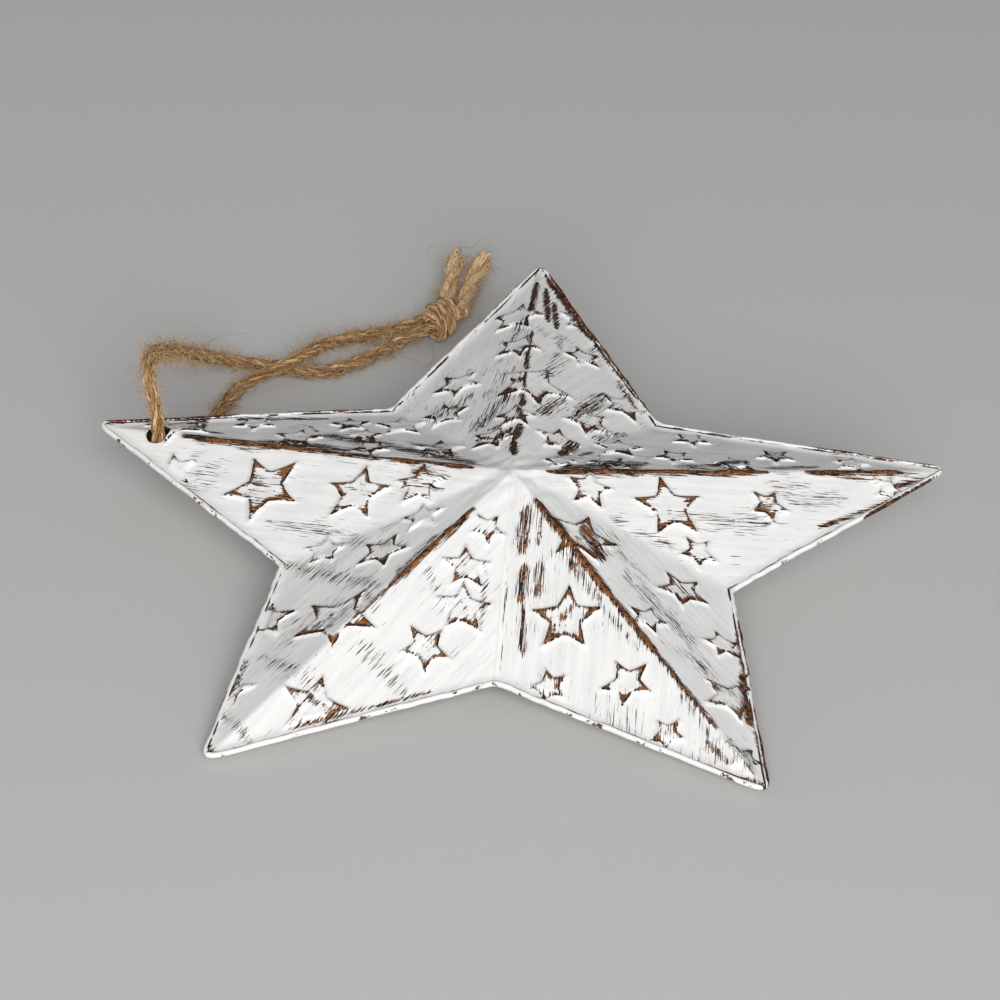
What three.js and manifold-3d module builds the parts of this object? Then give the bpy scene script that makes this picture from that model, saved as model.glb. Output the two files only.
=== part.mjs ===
// A hollow five-pointed metal star for hanging up, lying on a table.
// Two sheets, embossed all over with little raised stars, are pressed into shallow five-pointed peaks and
// joined back to back: the back sheet's rim is folded over the front sheet's rim. A jute twine passes
// through a hole near the tip of one arm, and its two frayed ends are tied in an overhand knot.
// Millimetres, +Z up. The origin is under the middle of the star's box, on the surface that it lies on.

import * as THREE from "three";
import { mergeVertices } from "three/addons/utils/BufferGeometryUtils.js";
import Module from "manifold-3d";

const wasm = await Module();
wasm.setup();

// The star, from its middle plane, as if its arms ended in points
const ARMS = 5;
const TIP_RADIUS = 92; // centre to the end of an arm
const NOTCH_RADIUS = 47; // centre to the corner between two arms
const PEAK_HEIGHT = 16; // middle plane to the peak of one side
const PEAK_BLUNT = 0.45; // what the pressing takes off the peak
const TIP_ROUND = 1.8; // radius of an arm's end
const NOTCH_ROUND = 3.2; // radius of the corner between two arms
const TIP_PIECES = 2; // straight pieces in the round of an arm's end
const NOTCH_PIECES = 1;

// The sheet and its folded rim
const SHEET = 0.4;
const SEAM_GAP = 0.2; // between the layers of the rim
const RIM_WIDTH = 1.5; // flat rim of the front sheet, seen from outside
const LIP_WIDTH = 1.2; // how far the fold reaches in over that rim

// The embossed stars
const BOSS_HEIGHT = 0.8;
const BOSS_NOTCH = 0.46; // inner radius of a little star, as a share of its reach
const BOSS_RIM_SPACE = 0.4; // between the flat rim and a star that runs into it

// The hole for the twine, near the end of the left arm, just off its ridge
const HOLE_RADIUS = 2.5;
const HOLE_FROM_TIP = 14.9; // from where the arm would end in a point
const HOLE_TURN = 162.2; // degrees from +X, seen from the front
const HOLE_SIDES = 16;

// The twine
const TWINE_RADIUS = 1.5;
const TWINE_SIDES = 8;
const TWINE_STEP = 6.5; // length of one straight piece of the tube
const TWINE_GAP = 0.35; // between pieces of twine that meet
const TAIL_NECK_RADIUS = 1.35; // where the plies begin to come apart
const TAIL_END_RADIUS = 2.2; // where they have come apart

const metalWhite = { color: 0xdcdcda, roughness: 0.55, metalness: 0.1 };
const juteBrown = { color: 0x9c7748, roughness: 0.95, metalness: 0 };

// Little stars of the front sheet, as the photograph shows them: across, up, reach, and the turn of a tip
const FRONT_STARS = [
  [-50, 5.3, 8, 38],
  [-30.8, 0.4, 6.6, 5],
  [-18.3, 0, 5, 12],
  [-69, 13, 4.5, 26],
  [-36, -13, 4.4, 10],
  [-69.5, 27.5, 7.4, 36],
  [-54.2, 28.4, 4.3, 52],
  [-34.6, 28.1, 4.2, 28],
  [-44.6, 19.3, 5, 10],
  [-29.2, 13.4, 3.7, 55],
  [-31, 21, 3.4, 20],
  [-15.5, 12.8, 5.2, 18],
  [-24.2, 27.6, 5.4, 24],
  [-24.2, -17.9, 5.3, 63],
  [-31.6, -37.4, 8.4, 56],
  [-45.6, -32.2, 5.8, 10],
  [-50.5, -53.5, 5, 0],
  [-17, -9, 4.2, 20],
  [-7.3, -23.3, 4.9, 24],
  [-7.2, -32.2, 5.6, 21],
  [-13.7, -42, 5.1, 57],
  [-33.6, -58.7, 6.9, 9],
  [-3.8, -14, 3.4, 60],
  [14.7, -14.4, 7.2, 11],
  [34.8, -20, 5.3, 57],
  [43.3, -32.9, 4, 42],
  [28.6, -33, 3.9, 8],
  [12.8, -34, 7.1, 16],
  [25.5, -48.5, 5.1, 46],
  [10.6, -48.2, 3.9, 32],
  [33.8, -59.9, 3.5, 52],
  [45.7, -49, 6.3, 1],
  [48.8, -65.6, 3.6, 70],
  [31.2, 1, 7.1, 38],
  [15.2, 0.2, 4.6, 18],
  [37.4, -7.6, 3.7, 60],
  [50.8, 7.8, 4, 0],
  [74.6, 19.6, 3, 10],
  [34.4, 30.4, 3.9, 66],
  [51.6, 25.2, 4, 58],
  [31.4, 18.3, 4, 54],
  [20, 20.2, 5, 20],
  [18.5, 10.5, 4.2, 50],
  [9, 7.4, 3.4, 30],
  [43.5, 17.8, 4, 40],
  [67, 25.4, 3.6, 15],
  [10.9, 56.6, 4, 42],
  [20.4, 41, 5.3, 10],
  [1.5, 38, 8.4, 68],
  [13.5, 29.4, 5.4, 52],
  [8, 17.8, 4.6, 18],
  [9.6, 72, 4.6, 18],
  [-14.2, 43.2, 5.1, 52],
  [-15.6, 30.6, 4.8, 25],
  [-2.6, 54.7, 5, 64],
  [-3.6, 68.7, 5.9, 9],
  [-5, 15.4, 4.6, 71],
  [-1, 23.8, 4.4, 20],
];

// Little stars of the back sheet, which the photograph doesn't show, seen from behind
const BACK_STARS = [
  [0.5, 70, 6.4, 20],
  [-7.4, 57, 4, 48],
  [5.6, 55.5, 5, 5],
  [-16.6, 43.6, 5.2, 30],
  [-2.6, 43, 7.2, 58],
  [13.4, 41.4, 4, 12],
  [21, 33.2, 5.4, 40],
  [-11, 28.4, 5.6, 66],
  [2.8, 26.8, 5.2, 22],
  [11.6, 20.8, 4.2, 50],
  [-4.6, 13.8, 4.6, 8],
  [34.6, 27.4, 6.6, 15],
  [30.4, 14.6, 4.2, 60],
  [20.6, 9.4, 5.6, 35],
  [46.4, 21.6, 4.6, 52],
  [60.4, 22.6, 5.6, 25],
  [42.4, 9.4, 6.2, 4],
  [55.4, 8.4, 4, 44],
  [29.8, 0.6, 5.2, 62],
  [16.6, -3.4, 4, 20],
  [41.4, -4.6, 4.4, 33],
  [37, -18.4, 6.2, 50],
  [24.4, -14.6, 5, 14],
  [11.4, -17.6, 5.2, 70],
  [27.6, -28, 4.2, 40],
  [41.6, -33.4, 5, 18],
  [14, -32, 6.2, 56],
  [31.4, -41.4, 5.4, 8],
  [44, -49, 5.4, 62],
  [20, -46.6, 4.2, 28],
  [36.6, -56.6, 4.4, 45],
  [47.2, -63.2, 3.6, 10],
  [0.8, -24.6, 4.4, 40],
  [2.2, -41, 5, 22],
  [-10.6, -16, 5, 12],
  [-11.6, -35, 6.4, 65],
  [-22.8, -25.4, 5.6, 30],
  [-25.4, -41.6, 4.8, 54],
  [-37, -30.6, 5.6, 5],
  [-35, -53.2, 6.2, 38],
  [-45.6, -43.4, 4.6, 60],
  [-46.4, -60.6, 4.4, 20],
  [-24.6, -11.8, 4.2, 48],
  [-38.8, -15.8, 5.2, 25],
  [-16.6, -1.4, 4.8, 60],
  [-32, -0.8, 6, 18],
  [-46.2, 0.6, 5, 42],
  [-22, 10.8, 5.4, 6],
  [-38.4, 12.6, 5.6, 55],
  [-53.6, 10.8, 6, 30],
  [-29.6, 24.6, 5.6, 36],
  [-46.8, 24.6, 5, 14],
  [-60.4, 23.8, 4.6, 64],
];

// Geometry helpers

const radians = THREE.MathUtils.degToRad;

function solidOf(geometry) {
  const bare = geometry.clone();
  bare.deleteAttribute("normal");
  bare.deleteAttribute("uv");
  const merged = mergeVertices(bare, 1e-4);
  return new wasm.Manifold(
    new wasm.Mesh({
      numProp: 3,
      vertProperties: merged.attributes.position.array,
      triVerts: new Uint32Array(merged.index.array),
    }),
  );
}

function meshOf(name, solid, look) {
  const made = solid.getMesh();
  const geometry = new THREE.BufferGeometry();
  geometry.setAttribute("position", new THREE.BufferAttribute(new Float32Array(made.vertProperties), 3));
  geometry.setIndex(new THREE.BufferAttribute(new Uint32Array(made.triVerts), 1));
  const flat = geometry.toNonIndexed();
  flat.computeVertexNormals();
  const mesh = new THREE.Mesh(flat, new THREE.MeshStandardMaterial(look));
  mesh.name = name;
  return mesh;
}

function polar(reach, degrees) {
  return new THREE.Vector2(reach * Math.cos(radians(degrees)), reach * Math.sin(radians(degrees)));
}

// The corners of a star, tips and notches in turn, counter-clockwise
function starCorners(tip, notch, turn) {
  const corners = [];
  for (let i = 0; i < ARMS; i++) {
    corners.push(polar(tip, turn + (i * 360) / ARMS));
    corners.push(polar(notch, turn + ((i + 0.5) * 360) / ARMS));
  }
  return corners;
}

// How far the straight edges of a star lie from its centre
function edgeDistance(tip, notch) {
  const half = Math.PI / ARMS;
  const edge = Math.sqrt(tip * tip + notch * notch - 2 * tip * notch * Math.cos(half));
  return (tip * notch * Math.sin(half)) / edge;
}

// A corner cut to an arc that touches both of its sides, in a few straight pieces
function roundedCorner(before, corner, after, radius, pieces) {
  const back = before.clone().sub(corner).normalize();
  const ahead = after.clone().sub(corner).normalize();
  const half = Math.acos(THREE.MathUtils.clamp(back.dot(ahead), -1, 1)) / 2;
  const start = corner.clone().addScaledVector(back, radius / Math.tan(half));
  const end = corner.clone().addScaledVector(ahead, radius / Math.tan(half));
  const middle = corner.clone().addScaledVector(back.clone().add(ahead).normalize(), radius / Math.sin(half));
  const points = [start];
  for (let i = 1; i < pieces; i++) {
    const towards = start.clone().lerp(end, i / pieces).sub(middle).normalize();
    points.push(middle.clone().addScaledVector(towards, radius));
  }
  points.push(end);
  return points;
}

const EDGE_DISTANCE = edgeDistance(TIP_RADIUS, NOTCH_RADIUS);

// The star's outline, moved in by inset. All its edges lie equally far from the centre, so moving them in
// scales the star.
function outline(inset) {
  const scale = (EDGE_DISTANCE - inset) / EDGE_DISTANCE;
  const corners = starCorners(TIP_RADIUS * scale, NOTCH_RADIUS * scale, 90);
  const points = [];
  corners.forEach((corner, i) => {
    const before = corners.at(i - 1);
    const after = corners[(i + 1) % corners.length];
    const isTip = i % 2 === 0;
    const radius = isTip ? Math.max(TIP_ROUND - inset, SHEET) : NOTCH_ROUND + inset;
    const pieces = isTip ? TIP_PIECES : NOTCH_PIECES;
    points.push(...roundedCorner(before, corner, after, radius, pieces));
  });
  return points;
}

function prism(points, low, high) {
  const geometry = new THREE.ExtrudeGeometry(new THREE.Shape(points), {
    depth: high - low,
    bevelEnabled: false,
  });
  return solidOf(geometry.translate(0, 0, low));
}

// A tent on an outline, given as levels from the floor up: the height of each, and how far the outline is
// drawn in towards the axis there
function tent(points, levels) {
  const faces = THREE.ShapeUtils.triangulateShape(points, []);
  const count = points.length;
  const vertices = levels.flatMap(([height, scale]) => points.flatMap((p) => [p.x * scale, p.y * scale, height]));
  const top = (levels.length - 1) * count;
  const index = [];
  for (const [a, b, c] of faces) {
    index.push(a, c, b);
    index.push(a + top, b + top, c + top);
  }
  for (let ring = 0; ring < top; ring += count) {
    for (let i = 0; i < count; i++) {
      const next = (i + 1) % count;
      index.push(ring + i, ring + next, ring + next + count);
      index.push(ring + i, ring + next + count, ring + i + count);
    }
  }
  const geometry = new THREE.BufferGeometry();
  geometry.setAttribute("position", new THREE.Float32BufferAttribute(vertices, 3));
  geometry.setIndex(index);
  return solidOf(geometry);
}

function joined(solids) {
  return solids.reduce((whole, next) => whole.add(next));
}

// The pressed sheets, each in its own frame: the middle plane at Z = 0 and the peak up

const RIM_LOW = SEAM_GAP / 2;
const RIM_HIGH = RIM_LOW + SHEET;
const FACET_INSET = RIM_WIDTH + SHEET + SEAM_GAP; // where the flat rim ends and the facets rise
const FACET_SLOPE = (PEAK_HEIGHT - RIM_HIGH) / (EDGE_DISTANCE - FACET_INSET);
const SHEET_UPRIGHT = SHEET * Math.hypot(1, FACET_SLOPE); // the sheet's thickness, measured straight up
const LIP_HIGH = RIM_HIGH + SEAM_GAP + SHEET;
const WELL_BELOW = -2 * LIP_HIGH; // a level that a cut from below starts at

// The space from below the rim up to a surface parallel to the facets, raised by lift, with a blunt peak
function filledToFacets(lift, inset) {
  const eaves = RIM_HIGH + lift + (inset - FACET_INSET) * FACET_SLOPE;
  const point = PEAK_HEIGHT + lift;
  const top = point - PEAK_BLUNT;
  return tent(outline(inset), [
    [WELL_BELOW, 1],
    [eaves, 1],
    [top, (point - top) / (point - eaves)],
  ]);
}

function starColumns(stars, wall) {
  const columns = [];
  for (const [across, up, reach, turn] of stars) {
    const distance = edgeDistance(reach, reach * BOSS_NOTCH);
    const scale = (distance - wall) / distance;
    if (scale <= 0) continue; // no hollow is left behind a star as small as the sheet is thick
    const corners = starCorners(reach * scale, reach * BOSS_NOTCH * scale, turn);
    const moved = corners.map((c) => c.add(new THREE.Vector2(across, up)));
    columns.push(prism(moved, WELL_BELOW, PEAK_HEIGHT + 2 * BOSS_HEIGHT));
  }
  return joined(columns);
}

function twineHole(turn) {
  const place = polar(TIP_RADIUS - HOLE_FROM_TIP, turn);
  const rightThrough = 4 * PEAK_HEIGHT;
  const geometry = new THREE.CylinderGeometry(HOLE_RADIUS, HOLE_RADIUS, rightThrough, HOLE_SIDES);
  return solidOf(geometry.rotateX(Math.PI / 2).translate(place.x, place.y, 0));
}

// The hollow behind the facets and behind each little star
function hollow(stars) {
  const inset = FACET_INSET + SHEET_UPRIGHT - SHEET;
  const behindStars = starColumns(stars, SHEET).intersect(
    filledToFacets(BOSS_HEIGHT - SHEET_UPRIGHT, inset + BOSS_RIM_SPACE + SHEET),
  );
  return filledToFacets(-SHEET_UPRIGHT, inset).add(behindStars);
}

function embossedFacets(stars) {
  const raised = filledToFacets(BOSS_HEIGHT, FACET_INSET + BOSS_RIM_SPACE);
  return filledToFacets(0, FACET_INSET).add(starColumns(stars, 0).intersect(raised));
}

function aboveMiddle(solid, low) {
  return solid.intersect(prism(outline(0), low, 2 * PEAK_HEIGHT));
}

function frontShell() {
  const rim = prism(outline(SHEET + SEAM_GAP), RIM_LOW, RIM_HIGH);
  const outside = aboveMiddle(rim.add(embossedFacets(FRONT_STARS)), RIM_LOW);
  return outside.subtract(hollow(FRONT_STARS)).subtract(twineHole(HOLE_TURN));
}

// The back sheet's rim goes out round the front sheet's rim and is folded in over it
function backShell() {
  const rim = prism(outline(0), -LIP_HIGH, RIM_HIGH);
  const pocket = prism(outline(SHEET), SHEET - LIP_HIGH, RIM_LOW);
  const mouth = prism(outline(SHEET + LIP_WIDTH), WELL_BELOW, 0);
  const folded = rim.add(aboveMiddle(embossedFacets(BACK_STARS), RIM_LOW));
  const open = folded.subtract(pocket).subtract(mouth);
  return open.subtract(hollow(BACK_STARS)).subtract(twineHole(180 - HOLE_TURN));
}

// The star lies on its back peak and on the ends of the two nearest arms, so its far arm is raised

const star = new THREE.Group();
const front = meshOf("front_shell", frontShell(), metalWhite);
const back = meshOf("back_shell", backShell(), metalWhite);
back.rotation.y = Math.PI; // the same pressing, turned over
star.add(front, back);

const nearestArm = Math.sin(radians(54)) * (TIP_RADIUS - TIP_ROUND);
const backPeak = PEAK_HEIGHT - PEAK_BLUNT;
star.rotation.x = Math.atan2(backPeak - RIM_HIGH, nearestArm);
const lying = new THREE.Box3().setFromObject(star, true);
const middle = lying.getCenter(new THREE.Vector3());
star.position.set(-middle.x, -middle.y, -lying.min.z);
star.updateMatrixWorld(true);

// The twine

function tube(points, radius) {
  const path = new THREE.CatmullRomCurve3(points);
  const steps = Math.max(3, Math.round(path.getLength() / TWINE_STEP));
  const section = new THREE.Shape();
  for (let i = 0; i < TWINE_SIDES; i++) {
    const corner = polar(radius, ((i + 0.5) * 360) / TWINE_SIDES);
    if (i === 0) section.moveTo(corner.x, corner.y);
    else section.lineTo(corner.x, corner.y);
  }
  section.closePath();
  const geometry = new THREE.ExtrudeGeometry(section, { steps, bevelEnabled: false, extrudePath: path });
  return solidOf(geometry);
}

function spaced(list) {
  return list.map(([x, y, z]) => new THREE.Vector3(x, y, z));
}

// Points on the twine's way through the arm, given as how far each lies up the star from the hole's middle
// and from the middle plane. side is 1 towards the front and -1 towards the back.
function wayOut(side, steps) {
  const place = polar(TIP_RADIUS - HOLE_FROM_TIP, HOLE_TURN);
  return steps.map(([up, height]) => star.localToWorld(new THREE.Vector3(place.x, place.y + up, side * height)));
}

// Up in an arch over the arm's far edge, down to the surface, and along to the knot
const FRONT_ROUTE = [
  [-73.9, 15, 26.2],
  [-74.4, 15.6, 28.8],
  [-75.1, 16.6, 31.2],
  [-75.6, 18.2, 33.1],
  [-76.2, 20.8, 34.2],
  [-76.6, 24.6, 34.3],
  [-76.8, 30, 33.1],
  [-76.7, 37, 30.6],
  [-76.3, 45, 27.2],
  [-75.6, 54, 23.1],
  [-74.7, 63, 18.7],
  [-73.4, 72, 14.2],
  [-72, 80, 10.1],
  [-70.3, 87, 6.5],
  [-67.9, 92, 3.7],
  [-63.8, 95.2, 1.8],
  [-58.2, 94.8, 1.6],
  [-52.6, 93, 1.6],
  [-47.4, 93.2, 1.6],
  [-42.4, 96.4, 1.7],
  [-36.9, 103, 1.9],
  [-31.4, 109.2, 2.6],
  [-26.2, 113.2, 3.9],
];

// Under the arm, along the surface, and over the other strand in a long low hump to the knot
const BACK_ROUTE = [
  [-73.2, 20.6, 15.3],
  [-72.9, 24.2, 13.8],
  [-72.5, 28.2, 11.9],
  [-72.1, 32.6, 9.7],
  [-71.6, 37.4, 7.3],
  [-71, 42.6, 4.9],
  [-70.3, 48.4, 3],
  [-69.6, 54.4, 1.9],
  [-68.8, 60.4, 1.6],
  [-67.9, 66.4, 1.6],
  [-66.4, 75, 1.6],
  [-64.4, 81.4, 2],
  [-61.4, 85.4, 2.8],
  [-57.6, 87.8, 4],
  [-54, 90.4, 5],
  [-51, 94.6, 5.1],
  [-48.4, 100.6, 4.2],
  [-44, 107.4, 2.9],
  [-38.2, 112.4, 2.2],
  [-32.2, 115.8, 2.6],
  [-26.6, 118.2, 4],
];

const KNOT_MIDDLE = [-23.6, 117.2, 4.7];
const KNOT_TURN = 60; // the way that the knot points, in degrees from +X
const KNOT_HALF_LENGTH = 5.4;
const KNOT_HALF_WIDTH = 3.8;
const KNOT_WRAP_RADIUS = 3.1; // the strand that goes round the others
const KNOT_WRAP_TILT = 24; // degrees from square to the knot's length
const KNOT_WRAP_APART = 3.2;
const KNOT_WRAP_SIDES = 16;
const KNOT_CORE_SIDES = 14;

const TAIL_A_ROUTE = [
  [-23, 121.6, 4.9],
  [-22.9, 128, 5.1],
  [-22.6, 135, 5.4],
  [-22.4, 142.4, 5.6],
  [-22.3, 149.6, 5.8],
];
const TAIL_B_ROUTE = [
  [-19.4, 120.8, 4.9],
  [-18.9, 127, 5],
  [-18.2, 134.4, 5.2],
  [-17.2, 142, 5.5],
  [-16, 149.4, 5.8],
];

// Both strands start at the middle of the arm, a little apart, where they are one twine in the real thing
const INSIDE = TWINE_GAP / 2;
const frontWay = wayOut(1, [
  [-0.8, INSIDE],
  [-0.8, 1],
  [-0.4, 2],
  [0.1, 3.2],
]);
const backWay = wayOut(-1, [
  [-0.8, INSIDE],
  [-0.8, 1],
  [-0.6, 2.2],
  [0.2, 3.6],
  [2, 4.9],
]);
const frontPath = [...frontWay, ...spaced(FRONT_ROUTE)];
const backPath = [...backWay, ...spaced(BACK_ROUTE)];

// The frayed end is thicker than the twine
function tail(points) {
  const whole = tube(points, TWINE_RADIUS);
  const length = points.at(-1).distanceTo(points.at(-2));
  const brush = new THREE.CylinderGeometry(TAIL_END_RADIUS, TAIL_NECK_RADIUS, length, TWINE_SIDES);
  const along = points.at(-1).clone().sub(points.at(-2)).normalize();
  const turn = new THREE.Quaternion().setFromUnitVectors(new THREE.Vector3(0, 1, 0), along);
  const place = points.at(-1).clone().lerp(points.at(-2), 0.5);
  return whole.add(solidOf(brush.applyQuaternion(turn).translate(place.x, place.y, place.z)));
}

// The room that a piece of twine takes where it ends in the knot
function seat(points, end) {
  const dome = new THREE.SphereGeometry(TWINE_RADIUS + TWINE_GAP, TWINE_SIDES, TWINE_SIDES / 2);
  return tube(points, TWINE_RADIUS + TWINE_GAP).add(solidOf(dome.translate(end.x, end.y, end.z)));
}

function knot() {
  const core = new THREE.SphereGeometry(1, KNOT_CORE_SIDES, KNOT_CORE_SIDES / 2);
  const lumps = [solidOf(core.scale(KNOT_HALF_LENGTH, KNOT_HALF_WIDTH, KNOT_HALF_WIDTH))];
  for (const side of [-1, 1]) {
    const wrap = new THREE.TorusGeometry(KNOT_WRAP_RADIUS, TWINE_RADIUS, TWINE_SIDES, KNOT_WRAP_SIDES);
    wrap.rotateY(Math.PI / 2).rotateZ(radians(side * KNOT_WRAP_TILT));
    lumps.push(solidOf(wrap.translate((side * KNOT_WRAP_APART) / 2, 0, 0)));
  }
  const placed = new THREE.Object3D();
  placed.position.set(...KNOT_MIDDLE);
  placed.rotation.z = radians(KNOT_TURN);
  placed.updateMatrix();
  const made = meshOf("knot", joined(lumps), juteBrown).geometry.applyMatrix4(placed.matrix);
  const seats = [
    seat(frontPath, frontPath.at(-1)),
    seat(backPath, backPath.at(-1)),
    seat(spaced(TAIL_A_ROUTE), spaced(TAIL_A_ROUTE)[0]),
    seat(spaced(TAIL_B_ROUTE), spaced(TAIL_B_ROUTE)[0]),
  ];
  return seats.reduce((whole, next) => whole.subtract(next), solidOf(made));
}

const ornament = new THREE.Group();
ornament.add(star);
ornament.add(meshOf("twine_front_strand", tube(frontPath, TWINE_RADIUS), juteBrown));
ornament.add(meshOf("twine_back_strand", tube(backPath, TWINE_RADIUS), juteBrown));
ornament.add(meshOf("twine_knot", knot(), juteBrown));
ornament.add(meshOf("twine_tail_a", tail(spaced(TAIL_A_ROUTE)), juteBrown));
ornament.add(meshOf("twine_tail_b", tail(spaced(TAIL_B_ROUTE)), juteBrown));

export default ornament;
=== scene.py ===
# %% [markdown]
# A pressed metal star with worn white paint
#
# The ornament is two thin sheets of metal, each pressed into a shallow five-pointed peak and embossed
# all over with little raised stars. The back sheet's rim is folded over the front sheet's. White paint
# was brushed on almost dry and rubbed back, so that brown metal shows on every raised edge. It hangs
# from a jute twine.
#
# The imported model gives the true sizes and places. This lesson makes the surfaces that are seen: the
# pressed sheets, their paint, and the twine with its plies, knot, frayed ends and loose fibres.

import math

import bmesh
import bpy
import numpy as np
from mathutils import Matrix, Vector


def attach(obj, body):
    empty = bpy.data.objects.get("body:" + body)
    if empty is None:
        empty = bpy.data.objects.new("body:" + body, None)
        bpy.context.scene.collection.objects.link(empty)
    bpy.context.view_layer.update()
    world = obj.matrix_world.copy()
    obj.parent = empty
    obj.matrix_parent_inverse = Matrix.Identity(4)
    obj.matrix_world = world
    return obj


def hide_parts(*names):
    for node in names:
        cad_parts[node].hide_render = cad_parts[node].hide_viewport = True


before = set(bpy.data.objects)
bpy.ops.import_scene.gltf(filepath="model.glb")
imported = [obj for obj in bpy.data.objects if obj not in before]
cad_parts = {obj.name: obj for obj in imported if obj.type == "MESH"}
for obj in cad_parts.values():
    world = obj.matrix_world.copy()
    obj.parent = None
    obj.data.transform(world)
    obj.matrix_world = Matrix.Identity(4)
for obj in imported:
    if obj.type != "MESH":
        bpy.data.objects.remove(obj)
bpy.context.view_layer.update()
MM = 0.001  # every length below is in millimetres until its mesh is placed
BODY = "root"
print("nodes:", sorted(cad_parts))

# %% [markdown]
# The star's driving sizes
#
# These repeat the construction's own sizes. All the star's edges lie equally far from its centre, so
# moving its outline inwards only scales it. That is why one number, the inset, says how high the sheet
# stands.

# %% Sizes of the star
ARMS = 5
TIP_RADIUS = 92.0  # centre to where an arm would end in a point
NOTCH_RADIUS = 47.0
TIP_ROUND = 1.8
NOTCH_ROUND = 3.2
PEAK_HEIGHT = 16.0
PEAK_BLUNT = 0.45
SHEET = 0.4
RIM_LOW = 0.1
RIM_HIGH = RIM_LOW + SHEET
FACET_INSET = 2.1  # the flat rim ends here and the facets rise
RIM_SOFT = 0.25  # how softly they rise from it
RIDGE_ROUND = 0.5  # a tip's round gets no tighter than this on the way up its ridge
VALLEY_TIGHTENS = 0.04
TIP_SHARE = 0.2  # the most of an edge that a tip's round may take
NOTCH_SHARE = 0.3
HALF_ARM = math.pi / ARMS

EDGE = math.sqrt(TIP_RADIUS**2 + NOTCH_RADIUS**2 - 2 * TIP_RADIUS * NOTCH_RADIUS * math.cos(HALF_ARM))
EDGE_DISTANCE = TIP_RADIUS * NOTCH_RADIUS * math.sin(HALF_ARM) / EDGE
TIP_HALF_ANGLE = math.asin(NOTCH_RADIUS * math.sin(HALF_ARM) / EDGE)
NOTCH_HALF_ANGLE = HALF_ARM + TIP_HALF_ANGLE  # between the edge and the line through both arms' corner
SLOPE = (PEAK_HEIGHT - RIM_HIGH) / (EDGE_DISTANCE - FACET_INSET)
print(f"edges are {EDGE:.1f} long and {EDGE_DISTANCE:.1f} from the centre, slope {SLOPE:.3f}")

# %% [markdown]
# Where the star lies
#
# The star lies on its back peak and on the ends of two arms, so it leans. Its own frame has the middle
# plane at Z = 0. The lean follows from the sizes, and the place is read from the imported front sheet:
# turned back by the lean, its lowest point is the underside of its rim.

# %% Find the star's place in the row frame
def read_values(source, key, width=3):
    """Numbers of a mesh's vertices, or of a fact on them, as one row for each vertex."""
    found = np.zeros(len(source) * width, np.float32)
    source.foreach_get(key, found)
    return found.reshape(-1, width).astype(float)


LEAN = math.atan2(PEAK_HEIGHT - PEAK_BLUNT - RIM_HIGH, (TIP_RADIUS - TIP_ROUND) * math.cos(HALF_ARM))
TIP_END = TIP_RADIUS - TIP_ROUND / math.sin(TIP_HALF_ANGLE) + TIP_ROUND
lean_matrix = np.array(Matrix.Rotation(LEAN, 3, "X"))
levelled = {}
for shell in ("front_shell", "back_shell"):
    levelled[shell] = read_values(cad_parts[shell].data.vertices, "co") / MM @ lean_matrix
top_tip = levelled["back_shell"][:, 1].max()
rim_underside = levelled["front_shell"][:, 2].min()
star_origin = lean_matrix @ np.array([0, top_tip - TIP_END, rim_underside - RIM_LOW])
STAR_PLACE = Matrix.Translation(Vector(star_origin)) @ Matrix.Rotation(LEAN, 4, "X")
print(f"the star leans {math.degrees(LEAN):.2f} degrees, centre at {star_origin.round(2)}")

# %% [markdown]
# Camera
#
# The photograph was taken from the front and above with a long lens, held a little off level. These
# numbers were fitted to the star's outline and its peak in the photograph.

# %% Camera at the photograph's angle
CAMERA_TURN = math.radians(3.01)
CAMERA_RISE = math.radians(26.54)
CAMERA_ROLL = math.radians(1.83)
CAMERA_DISTANCE = 1061.9
CAMERA_AIM = Vector((-2.99, 1.65, 18.62))
LENS = 190.74

level = math.cos(CAMERA_RISE)
back_way = Vector((math.sin(CAMERA_TURN) * level, -math.cos(CAMERA_TURN) * level, math.sin(CAMERA_RISE)))
level_right = Vector((math.cos(CAMERA_TURN), math.sin(CAMERA_TURN), 0))
level_up = back_way.cross(level_right)
right_way = level_right * math.cos(CAMERA_ROLL) + level_up * math.sin(CAMERA_ROLL)
up_way = back_way.cross(right_way)

camera_data = bpy.data.cameras.new("photo_camera")
camera_data.lens = LENS
camera_data.sensor_width = 36
camera_data.clip_start = 0.01
camera = bpy.data.objects.new("photo_camera", camera_data)
bpy.context.scene.collection.objects.link(camera)
turned = Matrix((right_way, up_way, back_way)).transposed().to_4x4()
camera.matrix_world = Matrix.Translation((CAMERA_AIM + back_way * CAMERA_DISTANCE) * MM) @ turned
bpy.context.scene.camera = camera
print("camera at", [round(x, 3) for x in camera.location])

# %% [markdown]
# The twine's route
#
# The twine is one length of jute that passes through the arm's hole. Both strands start in the middle
# of the arm. One comes out of the front hole, stands up in an arch and comes down to the table. The
# other goes under the arm. They cross in a long low hump, and meet at the knot. The points are the
# construction's own, and a centripetal curve through them gives the centreline, because it doesn't
# swing out where points lie unevenly.

# %% Route points
HOLE_FROM_TIP = 14.9
HOLE_TURN = math.radians(162.2)
TWINE_RADIUS = 1.5
TWINE_GAP = 0.35
hole_reach = TIP_RADIUS - HOLE_FROM_TIP
HOLE = Vector((hole_reach * math.cos(HOLE_TURN), hole_reach * math.sin(HOLE_TURN), 0))

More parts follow.
